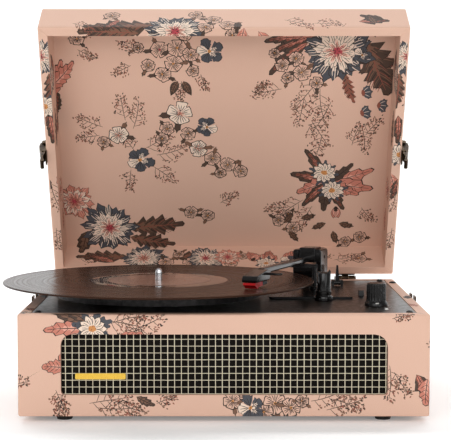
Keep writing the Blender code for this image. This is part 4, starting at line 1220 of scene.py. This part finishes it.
def carved(source, cutter, crossing=False):
    """A copy of a mesh with the cutter's shape taken out of it."""
    blank = shown("blank", source.copy())
    cut = blank.modifiers.new("cut", "BOOLEAN")
    cut.operation, cut.object, cut.use_self = "DIFFERENCE", cutter, crossing
    bpy.context.view_layer.update()
    graph = bpy.context.evaluated_depsgraph_get()
    mesh = bpy.data.meshes.new_from_object(blank.evaluated_get(graph))
    bpy.data.objects.remove(blank)
    bpy.data.objects.remove(cutter)
    return mesh


def joined(bm, first, second):
    """Faces from one ring of corners to the next."""
    for i in range(len(first)):
        j = (i + 1) % len(first)
        bm.faces.new((first[j], first[i], second[i], second[j]))


def seamed(source, place, inward, wall, level):
    """A copy of a shell's mesh with a shallow mitre groove across each rim corner."""
    half, depth, height, overrun = GROOVE
    bm = bmesh.new()
    for side in (-1, 1):
        for y, step in ((0, 1), (LONG, -1)):
            start = place(side * HALF, y, level)
            end = place(side * (HALF - wall), y + step * wall, level)
            run = (end - start).normalized()
            across = run.cross(inward).normalized() * half
            deep = inward.normalized() * depth
            proud = -inward.normalized() * height
            rings = []
            for point in (start - run * overrun, end + run * overrun):
                corners = (point + deep, point + across + proud, point - across + proud)
                rings.append([bm.verts.new(corner) for corner in corners])
            bm.faces.new(rings[0])
            bm.faces.new(rings[1][::-1])
            joined(bm, *rings)
    bmesh.ops.recalc_face_normals(bm, faces=bm.faces)
    cutters = bpy.data.meshes.new("seams")
    bm.to_mesh(cutters)
    bm.free()
    return carved(source, shown("seams", cutters))


lid_in = lid_world(0, 0, 0) - lid_world(0, 0, 1)
shell = seamed(NODES["lid_shell"].data, lid_world, lid_in, LID_WALL / MM, LID_TALL / MM)
belongs(printed_copy("lid_wrap", shell, lid_chart, lid_print), "lid", "lid_shell")
down = Vector((0, 0, -1))
shell = seamed(NODES["case_body"].data, case_world, down, CASE_WALL / MM, CASE_HEIGHT / MM)
belongs(printed_copy("case_wrap", shell, case_chart, case_print), "case", "case_body")


# --------------------------------------------- record, mat, knob, screws and marks


def piece_from(name, bm, materials, origin=(0, 0, 0), smooth=None):
    """An object of the given mesh, whose corners are measured from origin."""
    mesh = bpy.data.meshes.new(name)
    bmesh.ops.recalc_face_normals(bm, faces=bm.faces)
    if smooth is not None:
        for face in bm.faces:
            face.smooth = True
        for edge in bm.edges:
            if len(edge.link_faces) == 2 and edge.calc_face_angle(0) > smooth:
                edge.smooth = False
    bm.to_mesh(mesh)
    bm.free()
    for material in materials:
        mesh.materials.append(material)
    piece = shown(name, mesh)
    piece.location = origin
    return piece


def lathe(profile, sides, wobble=None, material_at=None):
    """A closed solid turned about z from (radius, height) places in millimetres."""
    bm = bmesh.new()
    rings = []
    for radius, height in profile:
        if radius == 0:
            rings.append([bm.verts.new((0, 0, height * MM))])
            continue
        ring = []
        for k in range(sides):
            angle = 2 * math.pi * k / sides
            out = radius + (wobble(k, radius, height) if wobble else 0)
            place = (out * MM * math.cos(angle), out * MM * math.sin(angle), height * MM)
            ring.append(bm.verts.new(place))
        rings.append(ring)
    closed = profile[0][0] > 0
    for row in range(len(rings) if closed else len(rings) - 1):
        first, second = rings[row], rings[(row + 1) % len(rings)]
        for k in range(sides):
            j = (k + 1) % sides
            corners = [first[k % len(first)], first[j % len(first)]]
            corners += [second[j % len(second)], second[k % len(second)]]
            unique = list(dict.fromkeys(corners))
            if len(unique) > 2:
                face = bm.faces.new(unique)
                if material_at:
                    face.material_index = material_at(row)
    return bm


def prism(bm, lower, upper):
    """A closed solid between two rings of places in millimetres."""
    rings = [[bm.verts.new([MM * part for part in place]) for place in ring] for ring in (lower, upper)]
    bm.faces.new(rings[0][::-1])
    bm.faces.new(rings[1])
    joined(bm, rings[1], rings[0])


def slab(bm, outline, low, high):
    """A flat plate between two heights."""
    prism(bm, *([(x, y, z) for x, y in outline] for z in (low, high)))


def arc_places(radius, start, end, count):
    steps = np.radians(np.linspace(start, end, count))
    return [(radius * math.cos(a), radius * math.sin(a)) for a in steps]


def make_record():
    """A 12-inch record: bead, run-in, six tracks with gaps, and the smooth middle."""
    top, low = 115.4, 113.4
    middle = [(3.7, top - 0.35), (50.6, top - 0.35), (51.2, top - 0.3), (66.5, top - 0.3)]
    tracks = [(67.0, top - 0.34)]
    stops = np.linspace(68, 145, 7)
    for start, end in zip(stops[:-1], stops[1:]):
        tracks += [(start + 0.4, top - 0.36), (start + 1.0, top - 0.3)]
        tracks += [(end - 1.0, top - 0.3), (end - 0.4, top - 0.36)]
    rim = [(146.4, top - 0.3), (148.2, top - 0.04), (149.4, top), (150.3, top - 0.25)]
    rim += [(150.75, top - 1.0), (150.3, low + 0.25), (149.4, low), (3.7, low)]
    grooves = range(len(middle), len(middle + tracks) + 5)
    bm = lathe(middle + tracks + rim, 192, material_at=lambda row: 0 if row in grooves else 1)
    origin = (SPINDLE.x, SPINDLE.y, 0)
    record = piece_from("vinyl_record", bm, [grooved_vinyl(), smooth_vinyl()], origin, 0.5)
    belongs(record, "platter", "record")
    low, high = 115.04, 115.2
    rim = [(4.6, low), (49.6, low), (50.0, high - 0.05), (49.6, high), (36.6, high)]
    rim += [(36.2, high - 0.06), (35.8, high), (15.6, high), (15.2, high - 0.06), (14.8, high)]
    rim += [(4.6, high)]
    label = piece_from("record_label", lathe(rim, 96), [label_paper()], origin, 0.1)
    belongs(label, "platter")


def make_mat():
    """The felt mat: a little uneven along its cut edge."""
    fuzz = random.Random(21)
    low, high = 111.6, 113.1
    rows = [(3.95, high), (3.95, low), (96.4, low), (96.9, low + 0.5), (96.9, high - 0.4), (96.3, high)]
    rows += [(r, high - 0.1) for r in (90, 78, 64, 50, 36, 22, 10)]

    def wobble(k, radius, height):
        return fuzz.uniform(-0.16, 0.06) if radius > 95 else 0

    mat = piece_from("felt_mat", lathe(rows, 160, wobble), [FELT], (SPINDLE.x, SPINDLE.y, 0), 0.6)
    belongs(mat, "platter", "slip_mat")


def make_arm_rest():
    """The post the arm parks on: a polished foot, a plain pillar and a low cradle."""
    axis = centre("arm_rest")
    profile = [(0, 124.6), (5.4, 124.6), (6.2, 124.2), (6.6, 123.2), (6.8, 107.4), (7.5, 106.6)]
    profile += [(7.5, 104.2), (7.1, 103.7), (7.1, 102.9), (8.2, 102.2), (8.7, 101.2), (8.8, 99.6)]
    profile += [(8.8, 98.1), (8.4, 97.7), (0, 97.7)]
    bm = lathe(profile, 64)
    cradle = [(-6.2, 122.0), (6.2, 122.0), (6.4, 126.0), (6.1, 126.7), (5.5, 126.8), (5.0, 126.4)]
    cradle += [(4.8, 125.6), (4.3, 125.1), (3.2, 124.9), (-3.2, 124.9), (-4.3, 125.1)]
    cradle += [(-5.2, 125.5), (-5.9, 125.4), (-6.4, 125.0)]
    prism(bm, *([(x, y, z) for x, z in cradle] for y in (-4.2, 4.2)))
    rest = piece_from("arm_post", bm, [GLOSS], (axis.x, axis.y, 0), 0.6)
    belongs(rest, "case", "arm_rest")


def make_knob():
    """The volume knob: fluted, with a bright spot on the front of its skirt that is a painted highlight."""
    axis = centre("volume_knob")
    profile = [(0, 119.2), (7.2, 119.2), (8.1, 119.1), (8.6, 118.7), (8.8, 118.0), (8.9, 116.5)]
    profile += [(9.1, 108), (9.2, 103.4), (9.3, 102.6), (9.8, 102.0), (10.3, 101.2), (10.7, 100.2)]
    profile += [(10.8, 98.2), (3, 98.2), (3, 86), (0, 86)]
    flutes = 21
    sides = 8 * flutes

    def fluted(k, radius, height):
        if not 102.8 < height < 118.5:
            return 0
        return -0.5 * (0.5 - 0.5 * math.cos(2 * math.pi * k * flutes / sides)) ** 2

    origin = (axis.x, axis.y, 0)
    knob = piece_from("fluted_knob", lathe(profile, sides, fluted), [SATIN], origin, 0.7)
    belongs(knob, "volume_knob", "volume_knob")
    bm = bmesh.new()
    # painted highlight: a white arc on the front of the skirt where a highlight shows
    outer, inner = arc_places(10.5, -98, -82, 6), arc_places(9.4, -98, -82, 6)
    slab(bm, outer + inner[::-1], 100.6, 101.7)
    belongs(piece_from("knob_skirt_highlight", bm, [PAINT], origin), "volume_knob")


def make_screws():
    """Cross-recessed heads on the four deck screws."""
    for number in range(1, 5):
        name = f"deck_screw_{number}"
        middle = centre(name)
        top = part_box(name)[1][2] / MM
        cross = bmesh.new()
        for long, wide in ((1.9, 0.38), (0.38, 1.9)):
            outline = [(-long, -wide), (long, -wide), (long, wide), (-long, wide)]
            place = [(middle.x / MM + x, middle.y / MM + y) for x, y in outline]
            slab(cross, place, top - 1.1, top + 1)
        mesh = carved(NODES[name].data, piece_from("recess", cross, []), True)
        mesh.materials.clear()
        mesh.materials.append(SATIN)
        belongs(shown(f"cross_screw_{number}", mesh), "case", name)


def bisected(bm, place, normal):
    """Keeps the side of the mesh that the normal points away from."""
    everything = bm.verts[:] + bm.edges[:] + bm.faces[:]
    bmesh.ops.bisect_plane(bm, geom=everything, plane_co=place, plane_no=normal, clear_outer=True)


def make_latch_plates():
    """The latch plates: only what lies on the wall's outside."""
    for side, sign in (("left", -1), ("right", 1)):
        name = f"latch_plate_{side}"
        bm = bmesh.new()
        bm.from_mesh(NODES[name].data)
        bmesh.ops.remove_doubles(bm, verts=bm.verts, dist=1e-6)
        bisected(bm, (CASE_X + sign * CASE_HALF, 0, 0), (-sign, 0, 0))
        bmesh.ops.holes_fill(bm, edges=open_edges(bm))
        belongs(piece_from(f"outer_{name}", bm, [BRONZE]), "lid", name)


def make_deck_marks():
    """The painted ticks round the knob, the dots beside the two sliders and a small white dome that is a
    painted highlight.
    """
    axis = centre("volume_knob")
    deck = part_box("deck_plate")[1][2] / MM
    bm = bmesh.new()
    for k in range(11):
        angle = math.radians(-240 + 30 * k)
        cos, sin = math.cos(angle), math.sin(angle)
        inner, outer, half = 13.4, (16.0 if k % 5 == 0 else 14.8), 0.32
        outline = []
        for out, off in ((inner, -half), (outer, -half), (outer, half), (inner, half)):
            outline.append((axis.x / MM + out * cos - off * sin, axis.y / MM + out * sin + off * cos))
        slab(bm, outline, deck - 0.05, deck + 0.08)
    for name, reach in (("speed_lever", 6.5), ("autostop_slider", 5.5)):
        spot = centre(name) / MM
        for y in (spot.y - reach, spot.y + reach):
            outline = [(spot.x + 5.5 + a, y + b) for a, b in arc_places(0.7, 0, 315, 8)]
            slab(bm, outline, deck - 0.05, deck + 0.08)
    # painted highlight: a small white dome standing in for a bright highlight spot on the deck
    dome = [(0, 1.1), (0.7, 1.05), (1.3, 0.75), (1.7, 0.3), (1.8, -0.05), (0, -0.05)]
    bead = lathe([(out, deck + up) for out, up in dome], 24)
    place = (CASE_X + 149.2 * MM, CASE_LOW.y + 39.3 * MM, 0)
    bmesh.ops.translate(bead, vec=place, verts=bead.verts)
    belongs(piece_from("white_highlight_dome", bead, [PAINT], smooth=1.0), "case")
    belongs(piece_from("deck_marks", bm, [PAINT]), "case")


make_record()
make_mat()
make_arm_rest()
make_knob()
make_screws()
make_latch_plates()
make_deck_marks()


# ------------------------------------------------------------------ grille cloth

# in millimetres: the threads' spacing along and up the grille
PITCH, RISE = 6.1, 6.15
THREADS_X = [CASE_X / MM - 141.6 + PITCH * k for k in range(48)]
THREADS_Z = [75.2 - RISE * k for k in range(9)]
CLOTH_LOW, CLOTH_HIGH = (Vector(corner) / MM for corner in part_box("grille_cloth"))


def grille_outline():
    """The rounded opening the cloth fills, anticlockwise from the lower left."""
    left, right, bottom, top = CLOTH_LOW.x, CLOTH_HIGH.x, CLOTH_LOW.z, CLOTH_HIGH.z
    outline = []
    for x, z, radius, start in (
        (left, bottom, 3.2, 180), (right, bottom, 3.2, 270), (right, top, 11.7, 0), (left, top, 9.7, 90)
    ):
        cx = x + radius if x == left else x - radius
        cz = z + radius if z == bottom else z - radius
        for dx, dz in arc_places(radius, start, start + 90, 7):
            outline.append((cx + dx, cz + dz))
    return outline


OUTLINE = grille_outline()
OUTLINE_EDGES = list(zip(OUTLINE, OUTLINE[1:] + OUTLINE[:1]))


def across_outline(axis, level):
    """Where a straight line at level enters and leaves the opening."""
    hits = []
    for first, second in OUTLINE_EDGES:
        if (first[axis] > level) != (second[axis] > level):
            share = (level - first[axis]) / (second[axis] - first[axis])
            hits.append(first[1 - axis] + share * (second[1 - axis] - first[1 - axis]))
    return (min(hits), max(hits)) if len(hits) == 2 else None


def stations(lines):
    """Places across the cloth with the height of its pads: thread gaps low, pads high."""
    lines = [2 * lines[0] - lines[1]] + lines + [2 * lines[-1] - lines[-2]]
    offsets = (-0.95, 0), (0.95, 0), (1.45, 1), (3.05, 1), (4.65, 1)
    return [(line + off, raised) for line in lines for off, raised in offsets]


def make_weave():
    """The dark cloth, woven in raised square pads, as one closed sheet."""
    front = CLOTH_LOW.y + 0.45
    fuzz = random.Random(31)
    bm = bmesh.new()
    grid = [
        [
            bm.verts.new((x * MM, (front - 0.42 * a * b * fuzz.uniform(0.8, 1)) * MM, z * MM))
            for x, a in stations(THREADS_X)
        ]
        for z, b in stations(sorted(THREADS_Z))
    ]
    for lower, upper in zip(grid[:-1], grid[1:]):
        for k in range(len(lower) - 1):
            bm.faces.new((lower[k], lower[k + 1], upper[k + 1], upper[k]))
    for (x0, z0), (x1, z1) in OUTLINE_EDGES:
        bisected(bm, (x0 * MM, 0, z0 * MM), (z1 - z0, 0, x0 - x1))
    made = bmesh.ops.extrude_edge_only(bm, edges=open_edges(bm))["geom"]
    for vert in (part for part in made if isinstance(part, bmesh.types.BMVert)):
        vert.co.y = CLOTH_HIGH.y * MM
    bmesh.ops.contextual_create(bm, geom=open_edges(bm))
    return piece_from("woven_cloth", bm, [speaker_cloth()])


def strand(bm, places, across, width):
    """A closed flat-sided thread along places."""
    shape = [(0.5, 0), (0.34, 0.5), (-0.34, 0.5), (-0.5, 0), (-0.34, -0.5), (0.34, -0.5)]
    rings = []
    for place in places:
        corners = (Vector(place) + Vector(across) * (a * width) + Vector((0, -b * 0.5, 0)) for a, b in shape)
        rings.append([bm.verts.new(corner * MM) for corner in corners])
    for first, second in zip(rings[:-1], rings[1:]):
        joined(bm, second, first)
    bm.faces.new(rings[0][::-1])
    bm.faces.new(rings[-1])


def make_threads():
    """The pale threads, each over one and under the next."""
    front = CLOTH_LOW.y + 0.08
    fuzz = random.Random(32)
    bm = bmesh.new()
    for axis, lines, first, pitch, phase, width in (
        (0, THREADS_X, THREADS_Z[0], RISE, 0.5, 0.72), (1, THREADS_Z, THREADS_X[0], PITCH, 1.5, 0.6)
    ):
        for k, level in enumerate(lines):
            span = across_outline(axis, level)
            if span is None:
                continue
            start, end = span[0] + 0.1, span[1] - 0.1
            places = []
            for at in [*np.arange(start, end, PITCH / 4), end]:
                lift = 0.16 * math.sin(math.pi * (at - first) / pitch + phase * math.pi + k * math.pi)
                beside = level + fuzz.uniform(-0.05, 0.05)
                places.append((at, front - lift, beside) if axis else (beside, front - lift, at))
            across = (0, 0, 1) if axis else (1, 0, 0)
            strand(bm, places, across, width * fuzz.uniform(0.9, 1.1))
    return piece_from("cloth_threads", bm, [gold_thread()], smooth=0.9)


weave = belongs(make_weave(), "case", "grille_cloth")
threads = belongs(make_threads(), "case")


# ------------------------------------------------------------ stage and camera


def make_backdrop():
    """A pale floor that curves up into the backdrop."""
    reach, start, radius, top, half = -12.0, 1.4, 1.2, 6.0, 12.0
    rail = [(reach, 0.0), (start, 0.0)]
    for step in range(1, 17):
        angle = math.pi / 2 * step / 16
        rail.append((start + radius * math.sin(angle), radius * (1 - math.cos(angle))))
    rail.append((start + radius, top))
    verts = [(x, y, z) for y, z in rail for x in (-half, half)]
    faces = [(2 * i, 2 * i + 1, 2 * i + 3, 2 * i + 2) for i in range(len(rail) - 1)]
    mesh = bpy.data.meshes.new("backdrop")
    mesh.from_pydata(verts, [], faces)
    for face in mesh.polygons:
        face.use_smooth = True
    mesh.materials.append(backdrop_paper())
    shown("backdrop", mesh)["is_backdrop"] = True


def softbox(name, place, aim, size, power):
    light = bpy.data.lights.new(name, "AREA")
    light.shape = "RECTANGLE"
    light.size, light.size_y = size
    light.energy = power
    lamp = shown(name, light)
    lamp.location = place
    lamp.rotation_euler = (Vector(aim) - Vector(place)).to_track_quat("-Z", "Y").to_euler()


make_backdrop()
softbox("key", (-0.3, -1.85, 0.9), (0, 0.05, 0.18), (1.7, 1.0), 16.5)
softbox("fill", (1.2, -1.7, 0.5), (0, 0.1, 0.2), (1.0, 0.8), 4)
softbox("side", (-1.6, 0.1, 0.6), (-0.1, 0, 0.12), (0.5, 1.2), 2)
softbox("back", (0, 1.3, 3.4), (0, 2.7, 0.9), (5.0, 0.8), 110)

world = bpy.data.worlds.new("studio")
bpy.context.scene.world = world
world.use_nodes = True
world.node_tree.nodes["Background"].inputs["Color"].default_value = (1, 1, 1, 1)
world.node_tree.nodes["Background"].inputs["Strength"].default_value = 0.34

view = bpy.data.cameras.new("camera")
view.lens = 117.7
view.sensor_width = 36
camera = shown("camera", view)
camera.location = (0.01211, -1.45986, 0.2706)
camera.rotation_euler = (math.radians(90 - 3.88), 0, 0)
bpy.context.scene.camera = camera
bpy.context.scene.view_settings.view_transform = "Standard"

[[list(map(float, corner)) for corner in box] for box in (CAD_BOX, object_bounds())]
